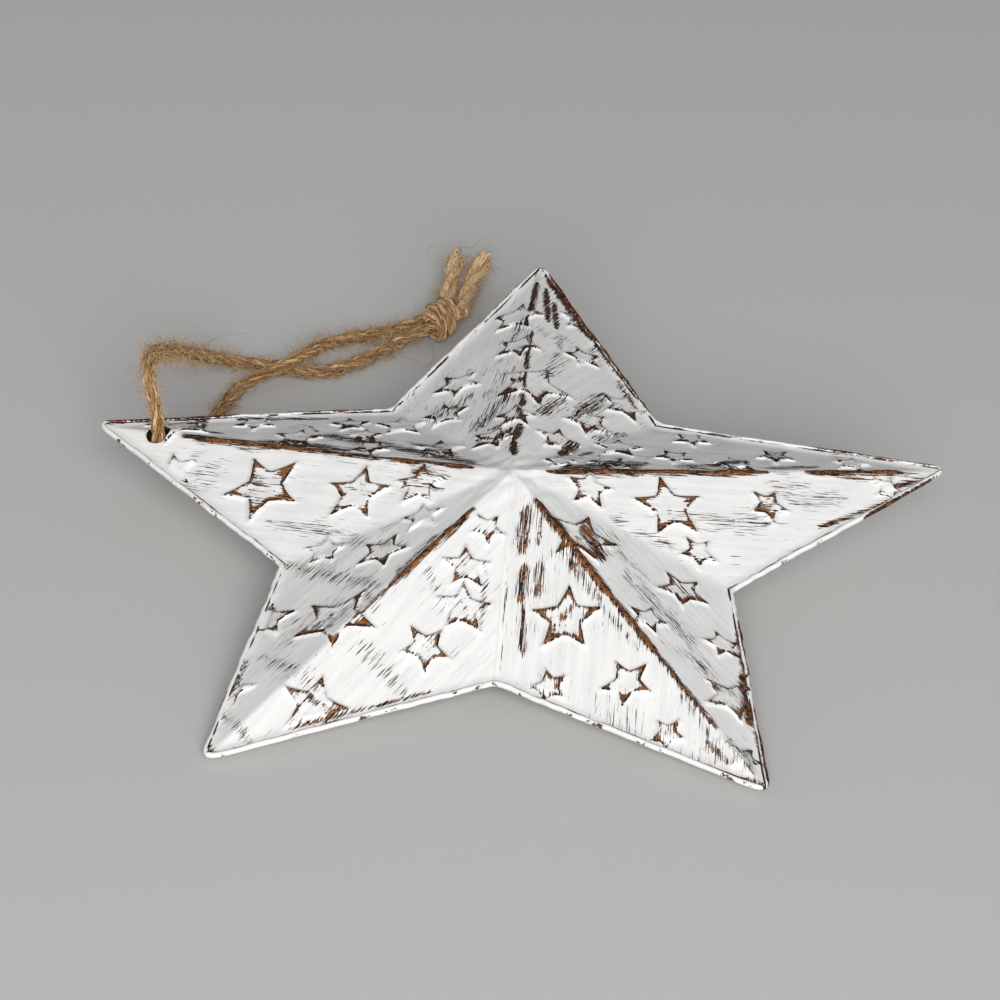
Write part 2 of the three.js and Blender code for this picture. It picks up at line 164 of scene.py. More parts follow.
FRONT_WAY = [(-0.8, TWINE_GAP / 2), (-0.8, 1), (-0.4, 2), (0.1, 3.2)]
BACK_WAY = [(-0.8, TWINE_GAP / 2), (-0.8, 1), (-0.6, 2.2), (0.2, 3.6), (2, 4.9)]
FRONT_ROUTE = [
    (-73.9, 15, 26.2), (-74.4, 15.6, 28.8), (-75.1, 16.6, 31.2), (-75.6, 18.2, 33.1), (-76.2, 20.8, 34.2),
    (-76.6, 24.6, 34.3), (-76.8, 30, 33.1), (-76.7, 37, 30.6), (-76.3, 45, 27.2), (-75.6, 54, 23.1),
    (-74.7, 63, 18.7), (-73.4, 72, 14.2), (-72, 80, 10.1), (-70.3, 87, 6.5), (-67.9, 92, 3.7),
    (-63.8, 95.2, 1.8), (-58.2, 94.8, 1.6), (-52.6, 93, 1.6), (-47.4, 93.2, 1.6), (-42.4, 96.4, 1.7),
    (-36.9, 103, 1.9), (-31.4, 109.2, 2.6), (-26.2, 113.2, 3.9),
]
BACK_ROUTE = [
    (-73.2, 20.6, 15.3), (-72.9, 24.2, 13.8), (-72.5, 28.2, 11.9), (-72.1, 32.6, 9.7), (-71.6, 37.4, 7.3),
    (-71, 42.6, 4.9), (-70.3, 48.4, 3), (-69.6, 54.4, 1.9), (-68.8, 60.4, 1.6), (-67.9, 66.4, 1.6),
    (-66.4, 75, 1.6), (-64.4, 81.4, 2), (-61.4, 85.4, 2.8), (-57.6, 87.8, 4), (-54, 90.4, 5),
    (-51, 94.6, 5.1), (-48.4, 100.6, 4.2), (-44, 107.4, 2.9), (-38.2, 112.4, 2.2), (-32.2, 115.8, 2.6),
    (-26.6, 118.2, 4),
]
TAIL_A_ROUTE = [
    (-23, 121.6, 4.9), (-22.9, 128, 5.1), (-22.6, 135, 5.4), (-22.4, 142.4, 5.6), (-22.3, 149.6, 5.8),
]
TAIL_B_ROUTE = [
    (-19.4, 120.8, 4.9), (-18.9, 127, 5), (-18.2, 134.4, 5.2), (-17.2, 142, 5.5), (-16, 149.4, 5.8),
]
KNOT_MIDDLE = Vector((-23.6, 117.2, 4.7))
KNOT_TURN = math.radians(60)
print("route points:", len(FRONT_ROUTE), len(BACK_ROUTE), len(TAIL_A_ROUTE), len(TAIL_B_ROUTE))


# %% A smooth line through the points
def smooth_line(points, step=0.5):
    """A centripetal Catmull-Rom curve through the points, as points about step apart."""
    known = [Vector(p) for p in points]
    known = [known[0] * 2 - known[1], *known, known[-1] * 2 - known[-2]]
    line = []
    for a, b, c, d in zip(known, known[1:], known[2:], known[3:]):
        spans = [math.sqrt(max((q - p).length, 1e-6)) for p, q in ((a, b), (b, c), (c, d))]
        leave = ((b - a) / spans[0] - (c - a) / (spans[0] + spans[1]) + (c - b) / spans[1]) * spans[1]
        arrive = ((c - b) / spans[1] - (d - b) / (spans[1] + spans[2]) + (d - c) / spans[2]) * spans[1]
        pieces = max(1, round((c - b).length / step))
        for i in range(pieces):
            t = i / pieces
            place = b * (2 * t**3 - 3 * t**2 + 1) + leave * (t**3 - 2 * t**2 + t)
            line.append(place + c * (3 * t**2 - 2 * t**3) + arrive * (t**3 - t**2))
    return [*line, known[-2]]


def way_out(side, steps):
    """Points on the twine's way out of the arm: how far up from the hole's middle, and how high."""
    return [STAR_PLACE @ (HOLE + Vector((0, up, side * height))) for up, height in steps]


def line_length(line):
    return sum((q - p).length for p, q in zip(line, line[1:]))


front_line = smooth_line([*way_out(1, FRONT_WAY), *FRONT_ROUTE])
back_line = smooth_line([*way_out(-1, BACK_WAY), *BACK_ROUTE])
print(f"strands: {line_length(front_line):.1f} and {line_length(back_line):.1f} long")

# %% [markdown]
# One pressed sheet, before its stars
#
# A sheet could be ten flat facets, but the stars need a fine, even mesh to be pressed into. So each of
# the ten facets is a triangle of rows: every row is the star's outline moved in, and has one point less
# on each edge than the row outside it. The corners of a row are rounded, tight at the ridges and wider
# in the valleys, as pressed sheet is. The sheet has a real thickness: its hollow side is a coarser
# copy, a little lower.


# %% A ring of points round the star
def round_length(radius, half_angle):
    """How far along each side a corner's round reaches, for a curve as deep as an arc of that radius."""
    return 2 * radius * (1 / math.sin(half_angle) - 1) / math.cos(half_angle)


def ring_points(inset, pieces):
    """Points round the outline moved in by inset, with pieces points on each of its ten edges."""
    scale = (EDGE_DISTANCE - inset) / EDGE_DISTANCE
    tip_turn = round_length(max(TIP_ROUND - inset, RIDGE_ROUND), TIP_HALF_ANGLE)
    tip_turn = min(tip_turn, TIP_SHARE * EDGE * scale)
    notch_turn = round_length(NOTCH_ROUND - VALLEY_TIGHTENS * inset, NOTCH_HALF_ANGLE)
    notch_turn = min(notch_turn, NOTCH_SHARE * EDGE * scale)
    share = np.linspace(0, 1, pieces, endpoint=False)
    ring = []
    for side in range(2 * ARMS):
        is_tip = side % 2 == 0
        reach = [TIP_RADIUS, NOTCH_RADIUS] if is_tip else [NOTCH_RADIUS, TIP_RADIUS]
        turn = [math.pi / 2 + (side + i) * HALF_ARM for i in (0, 1)]
        start, end = (np.array([math.cos(a), math.sin(a)]) * r * scale for a, r in zip(turn, reach))
        along = (end - start) / np.linalg.norm(end - start)
        rounds = [tip_turn, notch_turn] if is_tip else [notch_turn, tip_turn]
        places = start + np.outer(share, end - start)
        for corner, way, turn_length, at_tip in (
            (start, along, rounds[0], is_tip),
            (end, -along, rounds[1], not is_tip),
        ):
            near = np.clip(1 - (places - corner) @ way / turn_length, 0, 1)
            half = TIP_HALF_ANGLE if at_tip else NOTCH_HALF_ANGLE
            depth = turn_length * math.cos(half) / 2 * (1 if at_tip else -1)
            places = places - np.outer(near**2, corner / np.linalg.norm(corner) * depth)
        ring.append(places)
    return np.concatenate(ring)


def skin_height(inset):
    """How high the sheet's outer skin stands where the outline has been moved in by inset."""
    past_rim = inset - FACET_INSET
    risen = max(past_rim, 0) + RIM_SOFT * math.log1p(math.exp(-abs(past_rim) / RIM_SOFT))
    from_middle = EDGE_DISTANCE - inset
    blunt = PEAK_BLUNT / SLOPE
    return RIM_HIGH + SLOPE * (risen - math.hypot(from_middle, blunt) + from_middle)


print(f"a sheet's peak is {skin_height(EDGE_DISTANCE):.2f} above the middle plane")


# %% Stitch rings into a closed sheet
HOLLOW_COARSER = 4
HOLLOW_INSET = FACET_INSET + 0.03


def sheet_mesh(name, outer_inset, hem, pieces):
    """A closed sheet: outer skin from its rim to the peak, the hem's section, and the hollow side."""
    rings = []
    faces = []
    count = 0

    def add_ring(inset, height, per_edge, wobble=0.0):
        nonlocal count
        flat = ring_points(inset, per_edge) if per_edge else np.zeros((1, 2))
        if wobble:
            turn = np.arctan2(flat[:, 1], flat[:, 0])
            uneven = 0.8 * np.sin(17 * turn + 1) + 0.7 * np.sin(43 * turn + np.sin(9 * turn))
            uneven = uneven + 0.6 * np.sin(101 * turn)
            flat = flat * (1 + wobble * uneven / EDGE_DISTANCE)[:, None]
        rings.append(np.column_stack([flat, np.full(len(flat), height)]))
        count += len(flat)
        return count - len(flat)

    def skin(start, per_edge, first_inset, drop, flip):
        lower = start
        for row in range(1, per_edge + 1):
            inset = first_inset + (EDGE_DISTANCE - first_inset) * row / per_edge
            upper = add_ring(inset, skin_height(inset) - drop, per_edge - row)
            m = per_edge - row + 1
            low_total = 2 * ARMS * m
            high_total = max(1, 2 * ARMS * (m - 1))
            for side in range(2 * ARMS):
                low = [lower + (side * m + j) % low_total for j in range(m + 1)]
                high = [upper + (side * (m - 1) + j) % high_total for j in range(m)]
                found = [(low[j], low[j + 1], high[j]) for j in range(m)]
                found += [(low[j + 1], high[j + 1], high[j]) for j in range(m - 1)]
                faces.extend([f[::-1] for f in found] if flip else found)
            lower = upper

    total = 2 * ARMS * pieces
    rim = add_ring(outer_inset, skin_height(outer_inset), pieces)
    skin(rim, pieces, outer_inset, 0, flip=False)
    before = rim
    for inset, height, wobble in hem:
        ring = add_ring(inset, height, pieces, wobble)
        for i in range(total):
            after = (i + 1) % total
            faces.append((ring + i, ring + after, before + after, before + i))
        before = ring
    inner_pieces = pieces // HOLLOW_COARSER
    inner = add_ring(HOLLOW_INSET, RIM_LOW, inner_pieces)
    inner_total = 2 * ARMS * inner_pieces
    for i in range(inner_total):
        fine = [before + (i * HOLLOW_COARSER + j) % total for j in range(HOLLOW_COARSER, -1, -1)]
        faces.append((*fine, inner + i, inner + (i + 1) % inner_total))
    skin(inner, inner_pieces, HOLLOW_INSET, SHEET * math.hypot(1, SLOPE), flip=True)

    mesh = bpy.data.meshes.new(name)
    mesh.from_pydata(np.concatenate(rings).tolist(), [], faces)
    mesh.shade_smooth()
    mesh.update()
    return mesh


# %% The hems and the two sheets
LIP_HIGH = 0.78
LIP_LOW = 0.55
# Each ring of a hem is given as its inset, its height and how uneven it is.
FRONT_HEM = [(0.48, 0.42, 0), (0.48, 0.18, 0), (0.54, RIM_LOW, 0)]
BACK_HEM = [
    (0.42, 0.42, 0.05),
    (0.2, 0.25, 0.08),
    (0.05, 0.02, 0.12),
    (0.0, -0.25, 0.13),
    (0.04, -0.5, 0.12),
    (0.15, -0.68, 0.1),
    (0.34, -LIP_HIGH, 0.1),
    (0.64, -LIP_HIGH + 0.01, 0.13),
    (0.84, -LIP_HIGH + 0.09, 0.17),
    (0.84, -LIP_LOW, 0.15),
    (0.42, -LIP_LOW, 0),
    (0.36, -0.4, 0),
    (0.42, RIM_LOW, 0),
]
front_mesh = sheet_mesh("front_sheet", 0.56, FRONT_HEM, 128)
back_mesh = sheet_mesh("back_sheet", 0.62, BACK_HEM, 120)
for made in (front_mesh, back_mesh):
    print(made.name, len(made.polygons), "faces")

# %% [markdown]
# The hole for the twine
#
# Both sheets are pierced near the end of the left arm. A Boolean cuts the hole before the stars are
# pressed, so that they bend its edge as they do the sheet's. The back sheet is made peak up like the
# front one and turned over later, so its hole is on its other side.


# %% Pierce the sheets
HOLE_RADIUS = 2.5
PUNCH_LENGTH = 60
PEAK_UP_BACK = Matrix.Rotation(math.pi, 4, "Y")


def new_object(name, mesh):
    obj = bpy.data.objects.new(name, mesh)
    bpy.context.scene.collection.objects.link(obj)
    return obj


def plain_copy(obj):
    """The object's evaluated mesh, as a mesh of its own."""
    seen = obj.evaluated_get(bpy.context.evaluated_depsgraph_get())
    return bpy.data.meshes.new_from_object(seen)


def pierced(obj, across):
    punch = bmesh.new()
    size = {"radius1": HOLE_RADIUS, "radius2": HOLE_RADIUS, "depth": PUNCH_LENGTH}
    bmesh.ops.create_cone(punch, cap_ends=True, segments=40, **size)
    bmesh.ops.translate(punch, verts=punch.verts, vec=(across, HOLE.y, 0))
    cutter = new_object("punch", bpy.data.meshes.new("punch"))
    punch.to_mesh(cutter.data)
    punch.free()
    cut = obj.modifiers.new("hole", "BOOLEAN")
    cut.operation = "DIFFERENCE"
    cut.solver = "MANIFOLD"
    cut.object = cutter
    mesh = plain_copy(obj)
    obj.modifiers.remove(cut)
    bpy.data.objects.remove(cutter)
    obj.data = mesh
    print(obj.name, "pierced:", len(mesh.polygons), "faces")


front_sheet = new_object("front_sheet", front_mesh)
back_sheet = new_object("back_sheet", back_mesh)
pierced(front_sheet, HOLE.x)
pierced(back_sheet, -HOLE.x)

# %% [markdown]
# Facts that the paint needs
#
# Paint wears by place: at the rim, at the ridges and along the brush strokes. A material can't know
# where a rim is, so each vertex is given facts. The inset is how far inside the outline it lies. The
# grain is its place in a frame that runs along the brush's way over its facet. The painted shade says
# how much shade is painted into the bare metal and the star outlines there, most on the facets that
# lean away from the lamp. The rub, which is stored later, says how much has been worn off by handling,
# and is painted with strokes, as one would do by hand.


# %% Unevenness, inset and grain
def store(mesh, name, values):
    kind, key = ("FLOAT_VECTOR", "vector") if values.ndim == 2 else ("FLOAT", "value")
    fact = mesh.attributes.new(name, kind, "POINT")
    fact.data.foreach_set(key, values.astype(np.float32).ravel())


def bent_by_hand(across, up):
    """The sheets' shared unevenness: a few long soft waves, so that the folded rim stays closed."""
    wave = 0.11 * np.sin(across / 9.5 + 0.06 * up + 1) * np.sin(up / 12 + 2)
    return wave + 0.08 * np.sin(across / 21 - up / 17) + 0.05 * np.sin(up / 6.1 + across / 14)


def dented(across, up, seed):
    """Each sheet's own shallow dents between its stars, and small creases round its peak."""
    wave = np.sin(across / 2.9 + seed) * np.sin(up / 3.3 + 2 * seed)
    near_peak = np.exp(-((np.hypot(across, up) / 9) ** 2))
    creases = np.abs(np.sin(across / 1.3 + np.sin(up / 1.9 + seed)))
    creases = creases * np.abs(np.cos(up / 1.5 - across / 2.7))
    dents = 0.07 * wave + 0.05 * np.sin(across / 1.7 - up / 2.3 + seed)
    return dents + 0.3 * near_peak * (creases - 0.5)


# One value for each front facet, counter-clockwise from the top arm's left one. The first is the way that
# the brush went, in degrees, and the second is how much shade is painted into the bare metal and the
# star outlines there: most on the facets that lean away from the lamp.
BRUSH_TURNS = (80, 168, 162, 232, 237, 270, 312, 14, 12, 66)
PAINTED_FACET_SHADE = (0.9, 1.0, 0.3, 0.6, 0.1, 0.15, 0.45, 0.2, 1.0, 0.85)
# The back, which isn't seen, gets one middling amount of painted shade.
BACK_PAINTED_FACET_SHADE = 0.4
DENTS_FROM = 2  # the inset where dents begin, and how much further in they are at their deepest
DENTS_GROW = 4


def give_facts(mesh, side, seed):
    places = read_values(mesh.vertices, "co")
    across, up = places[:, 0], places[:, 1]
    reach = np.hypot(across, up)
    turn = np.arctan2(up, across) - math.pi / 2
    arm = np.round(turn / (2 * HALF_ARM))
    from_ridge = turn - arm * 2 * HALF_ARM
    edge_turn = math.pi / 2 - TIP_HALF_ANGLE
    inset = EDGE_DISTANCE - reach * np.cos(edge_turn - np.abs(from_ridge))
    facet = np.floor(turn / HALF_ARM).astype(int) % (2 * ARMS)
    brush = np.radians([BRUSH_TURNS[f] for f in facet]) if side > 0 else arm * 2 * HALF_ARM + math.pi / 2
    along = across * np.cos(brush) + up * np.sin(brush)
    beside = up * np.cos(brush) - across * np.sin(brush)
    own = facet if side > 0 else arm % ARMS
    store(mesh, "inset", inset)
    # The grain's third number sets the facets' noises apart.
    store(mesh, "grain", np.column_stack([along, beside, 31.7 * own + 7 * seed]))
    # How much shade is painted into each facet's bare metal and star outlines: most on the facets that
    # lean away from the lamp.
    store(mesh, "tarnish", np.array([PAINTED_FACET_SHADE[f] if side > 0 else BACK_PAINTED_FACET_SHADE for f in facet]))
    inner = np.clip((inset - DENTS_FROM) / DENTS_GROW, 0, 1)
    places[:, 2] += side * bent_by_hand(side * across, up) + inner * dented(across, up, seed)
    mesh.vertices.foreach_set("co", places.astype(np.float32).ravel())
    mesh.update()


give_facts(front_sheet.data, 1, 0.4)
give_facts(back_sheet.data, -1, 2.1)
print("facts:", [a.name for a in front_sheet.data.attributes if not a.name.startswith(".")])

# %% [markdown]
# Short words for node trees
#
# Node trees built in a script get long when every node and link takes a line. A wire stands for a
# node's output, and can be added and multiplied as a number can. A board holds one tree and makes its
# nodes.


# %% A wire
class Wire:
    """An output of a node, which can be used in sums."""

    def __init__(self, board, socket):
        self.board = board
        self.socket = socket

    def __add__(self, other):
        return self.board.maths("ADD", self, other)

    def __sub__(self, other):
        return self.board.maths("SUBTRACT", self, other)

    def __rsub__(self, other):
        return self.board.maths("SUBTRACT", other, self)

    def __mul__(self, other):
        return self.board.maths("MULTIPLY", self, other)

    def __truediv__(self, other):
        return self.board.maths("DIVIDE", self, other)

    __radd__ = __add__
    __rmul__ = __mul__


# %% A board
class Board:
    """A node tree, with short words for adding nodes to it."""

    def __init__(self, tree):
        self.tree = tree

    def feed(self, socket, value):
        if isinstance(value, Wire):
            self.tree.links.new(value.socket, socket)
        else:
            socket.default_value = value

    def add(self, kind, values=None, **settings):
        node = self.tree.nodes.new(kind)
        for name, value in settings.items():
            setattr(node, name, value)
        for key, value in (values or {}).items():
            self.feed(node.inputs[key], value)
        return node

    def out(self, node, key=0):
        return Wire(self, node.outputs[key])

    def make(self, kind, values=None, key=0, **settings):
        """Adds a node and gives one of its outputs."""
        return self.out(self.add(kind, values, **settings), key)

    def maths(self, operation, *values):
        return self.make("ShaderNodeMath", dict(enumerate(values)), operation=operation)

    def vector(self, operation, *values):
        return self.make("ShaderNodeVectorMath", dict(enumerate(values)), operation=operation)

    def scaled(self, vector, amount):
        values = {"Vector": vector, "Scale": amount}
        return self.make("ShaderNodeVectorMath", values, operation="SCALE")

    def ease(self, value, low, high):
        """From 0 to 1, smoothly, as the value goes from low to high."""
        values = {"Value": value, "From Min": low, "From Max": high}
        return self.make("ShaderNodeMapRange", values, interpolation_type="SMOOTHSTEP")

    def parts(self, vector):
        node = self.add("ShaderNodeSeparateXYZ", {0: vector})
        return [self.out(node, i) for i in range(3)]

    def joined(self, x, y, z):
        return self.make("ShaderNodeCombineXYZ", {0: x, 1: y, 2: z})

    def noise(self, vector, detail=2.0, roughness=0.5, key=0):
        values = {"Vector": vector, "Scale": 1.0, "Detail": detail, "Roughness": roughness}
        return self.make("ShaderNodeTexNoise", values, key)

    def chance(self, low, high, kind="FLOAT", **more):
        """A random value for each element, by the seed and the element's number given in more."""
        ends = {"FLOAT": ("Min_001", "Max_001"), "FLOAT_VECTOR": ("Min", "Max")}[kind]
        values = {ends[0]: low, ends[1]: high, **more}
        node = self.add("FunctionNodeRandomValue", data_type=kind)
        for socket in node.inputs:
            if socket.identifier in values:
                self.feed(socket, values[socket.identifier])
        return self.out(node, 1 if kind == "FLOAT" else 0)

    def fact(self, name, kind="FLOAT"):
        return self.make("GeometryNodeInputNamedAttribute", {"Name": name}, data_type=kind)

    def stored(self, geometry, name, value, kind="FLOAT", domain="POINT"):
        values = {"Geometry": geometry, "Name": name, "Value": value}
        return self.make("GeometryNodeStoreNamedAttribute", values, data_type=kind, domain=domain)

    def swept(self, curve, sides, radius=1.0, **more):
        """A tube along a curve. More may give its scale along the way."""
        ring = self.make("GeometryNodeCurvePrimitiveCircle", {"Resolution": sides, "Radius": radius})
        values = {"Curve": curve, "Profile Curve": ring, "Fill Caps": bool(more), **more}
        return self.make("GeometryNodeCurveToMesh", values)

    def together(self, *parts):
        joint = self.tree.nodes.new("GeometryNodeJoinGeometry")
        for part in parts:
            self.tree.links.new(part.socket, joint.inputs[0])
        return self.out(joint)

    def finished(self, finish, geometry, material):
        """The tree, which gives out the geometry as one real mesh with its material."""
        real = self.make("GeometryNodeRealizeInstances", {0: geometry})
        painted = self.make("GeometryNodeSetMaterial", {"Geometry": real, "Material": material})
        self.feed(finish.inputs["Geometry"], painted)
        return self.tree


# %% Start a tree, and apply one
def tree_with(kind, name, inputs, outputs):
    """A new node tree with named sockets. An input is given by its kind, or as a number by its default."""
    tree = bpy.data.node_groups.new(name, kind)
    for socket_name, wanted in inputs.items():
        sort = {float: "Float", int: "Int"}.get(type(wanted), wanted)
        socket = tree.interface.new_socket(socket_name, in_out="INPUT", socket_type="NodeSocket" + sort)
        if sort != wanted:
            socket.default_value = wanted
    for socket_name, sort in outputs.items():
        tree.interface.new_socket(socket_name, in_out="OUTPUT", socket_type="NodeSocket" + sort)
    board = Board(tree)
    start = tree.nodes.new("NodeGroupInput")
    wires = {name: board.out(start, name) for name in inputs}
    return board, wires, tree.nodes.new("NodeGroupOutput")


def grown(obj, tree, **values):
    """Applies a geometry tree to the object, its inputs set by their sockets' own identifiers."""
    modifier = obj.modifiers.new(tree.name, "NODES")
    modifier.node_group = tree
    for item in tree.interface.items_tree:
        if item.in_out == "INPUT" and item.name in values:
            modifier[item.identifier] = values[item.name]
    mesh = plain_copy(obj)
    obj.modifiers.remove(modifier)
    obj.data = mesh


# %% [markdown]
# The little stars
#
# The stars are punched in one by one, each at its own place, size and turn. A tree repeats one step for
# every star in a list of points: it works out how far each spot of the sheet lies inside or outside
# that star's outline, and keeps the nearest. The outline's sides are a little hollow and its five ends
# sharp. When all the stars are in, the sheet is lifted where it lies inside one, and falls off softly
# around it.

# %% The tree that presses stars
EMBOSSED = {"Height": 0.72, "Skirt": 1.15, "Hollow": 0.022}
BOSS_NOTCH = 0.46
LITTLE_EDGE = math.sqrt(1 + BOSS_NOTCH**2 - 2 * BOSS_NOTCH * math.cos(HALF_ARM))
EDGE_BACK = (BOSS_NOTCH * math.cos(HALF_ARM) - 1) / LITTLE_EDGE
EDGE_ASIDE = BOSS_NOTCH * math.sin(HALF_ARM) / LITTLE_EDGE
NO_STAR = (-9.0, 9.0, 0.0)
FLAT_UP = 0.3  # a normal that points up more than this is on the outer skin


def star_press_tree():
    board, given, finish = tree_with(
        "GeometryNodeTree",
        "press stars",
        {
            "Geometry": "Geometry",
            "Stars": "Object",
            **EMBOSSED,
            "Paint": "Material",
        },
        {"Geometry": "Geometry"},
    )
    stars = board.make("GeometryNodeObjectInfo", {"Object": given["Stars"]}, "Geometry")
    count = board.make("GeometryNodeAttributeDomainSize", {0: stars}, "Point Count", component="MESH")
    begin = board.stored(given["Geometry"], "star", NO_STAR, "FLOAT_VECTOR")
    zone_in = board.tree.nodes.new("GeometryNodeRepeatInput")
    zone_out = board.tree.nodes.new("GeometryNodeRepeatOutput")
    zone_in.pair_with_output(zone_out)
    board.feed(zone_in.inputs["Iterations"], count)
    board.feed(zone_in.inputs["Geometry"], begin)

    def of_star(kind, value):
        values = {"Geometry": stars, "Value": value, "Index": board.out(zone_in, "Iteration")}
        return board.make("GeometryNodeSampleIndex", values, data_type=kind, domain="POINT")

    place = board.make("GeometryNodeInputPosition")
    away = board.vector("SUBTRACT", place, of_star("FLOAT_VECTOR", place))
    across, up, _ = board.parts(away)
    reach, turn, wear = (of_star("FLOAT", board.fact(name)) for name in ("reach", "turn", "wear"))
    far = board.maths("SQRT", across * across + up * up)
    angle = board.maths("PINGPONG", board.maths("ARCTAN2", up, across) - turn, HALF_ARM)
    x = far * board.maths("COSINE", angle)
    y = far * board.maths("SINE", angle)
    from_end = (x - reach) * EDGE_BACK + y * EDGE_ASIDE  # along the side, from the star's end
    inside = (reach - x) * EDGE_ASIDE + y * EDGE_BACK
    share = board.maths("MINIMUM", board.maths("MAXIMUM", from_end / (reach * LITTLE_EDGE), 0.0), 1.0)
    inside = inside - given["Hollow"] * reach * 4 * share * (1 - share)
    to_end = board.maths("SQRT", (x - reach) * (x - reach) + y * y)
    past_end = board.maths("LESS_THAN", from_end, 0.0)
    edge = inside * (1 - past_end) - to_end * past_end
    now = board.fact("star", "FLOAT_VECTOR")
    values = {0: edge, 1: board.parts(now)[0]}
    nearer = board.make("FunctionNodeCompare", values, data_type="FLOAT", operation="GREATER_THAN")
    new = board.joined(edge, far / reach, wear)
    kept = board.make("GeometryNodeSwitch", {0: nearer, 1: now, 2: new}, input_type="VECTOR")
    step = board.stored(board.out(zone_in, "Geometry"), "star", kept, "FLOAT_VECTOR")
    board.feed(zone_out.inputs["Geometry"], step)

    edge = board.parts(board.fact("star", "FLOAT_VECTOR"))[0]
    lifted = board.ease(edge, -0.5, 0.2) * 0.88 + board.ease(edge, given["Skirt"] * -1, 0.4) * 0.12
    lifted = lifted * (1 - 0.14 * board.ease(edge, 0.5, 1.6))
    normal_up = board.parts(board.make("GeometryNodeInputNormal"))[2]
    outer = board.maths("GREATER_THAN", normal_up, FLAT_UP) * board.ease(board.fact("inset"), 2.0, 3.0)
    lift = board.joined(0.0, 0.0, lifted * outer * given["Height"])
    values = {"Geometry": board.out(zone_out, "Geometry"), "Offset": lift}
    return board.finished(finish, board.make("GeometryNodeSetPosition", values), given["Paint"])


press_stars = star_press_tree()
print("press stars:", len(press_stars.nodes), "nodes")

# %% [markdown]
# Where the stars are punched
#
# The front stars are where the photograph shows them, given as how far across and up from the middle,
# the reach of an end, the turn of one end in degrees, and how worn the star is. The back isn't seen, so
# its stars are scattered in the same manner, and their wear is left to chance.

# %% Lists of stars
FRONT_STARS = [
    (-50, 5.3, 8, 38, 1), (-30.8, 0.4, 6.6, 5, 1.1), (-18.3, 0, 5, 12, 0.8), (-69, 13, 4.5, 26, 0.5),
    (-36, -13, 4.4, 10, 0.5), (-69.5, 27.5, 7.4, 36, 0.6), (-54.2, 28.4, 4.3, 52, 0.9),
    (-34.6, 28.1, 4.2, 28, 0.95), (-44.6, 19.3, 5, 10, 0.9), (-29.2, 13.4, 3.7, 55, 0.8),
    (-31, 21, 3.4, 20, 0.8), (-15.5, 12.8, 5.2, 18, 0.7), (-24.2, 27.6, 5.4, 24, 0.5),
    (-24.2, -17.9, 5.3, 63, 1.1), (-31.6, -37.4, 8.4, 56, 1.2), (-45.6, -32.2, 5.8, 10, 0.8),
    (-50.5, -53.5, 5, 0, 0.6), (-17, -9, 4.2, 20, 0.4), (-7.3, -23.3, 4.9, 24, 0.8),
    (-7.2, -32.2, 5.6, 21, 0.8), (-13.7, -42, 5.1, 57, 0.9), (-33.6, -58.7, 6.9, 9, 0.7),
    (-3.8, -14, 3.4, 60, 0.6), (14.7, -14.4, 7.2, 11, 1.5), (34.8, -20, 5.3, 57, 1.05),
    (43.3, -32.9, 4, 42, 1.1), (28.6, -33, 3.9, 8, 1), (12.8, -34, 7.1, 16, 1.25),
    (25.5, -48.5, 5.1, 46, 1.3), (10.6, -48.2, 3.9, 32, 0.9), (33.8, -59.9, 3.5, 52, 1),
    (45.7, -49, 6.3, 1, 0.6), (48.8, -65.6, 3.6, 70, 0.6), (31.2, 1, 7.1, 38, 1.3),
    (15.2, 0.2, 4.6, 18, 1.1), (37.4, -7.6, 3.7, 60, 1.1), (50.8, 7.8, 4, 0, 1.1),
    (74.6, 19.6, 3, 10, 0.6), (34.4, 30.4, 3.9, 66, 0.9), (51.6, 25.2, 4, 58, 0.9),
    (31.4, 18.3, 4, 54, 0.9), (20, 20.2, 5, 20, 0.6), (18.5, 10.5, 4.2, 50, 0.8), (9, 7.4, 3.4, 30, 0.5),
    (43.5, 17.8, 4, 40, 0.6), (67, 25.4, 3.6, 15, 0.5), (10.9, 56.6, 4, 42, 0.7),
    (20.4, 41, 5.3, 10, 0.8), (1.5, 38, 8.4, 68, 0.9), (13.5, 29.4, 5.4, 52, 0.6),
    (8, 17.8, 4.6, 18, 0.7), (9.6, 72, 4.6, 18, 0.9), (-14.2, 43.2, 5.1, 52, 0.9),
    (-15.6, 30.6, 4.8, 25, 0.7), (-2.6, 54.7, 5, 64, 0.9), (-3.6, 68.7, 5.9, 9, 0.8),
    (-5, 15.4, 4.6, 71, 1), (-1, 23.8, 4.4, 20, 1),
]
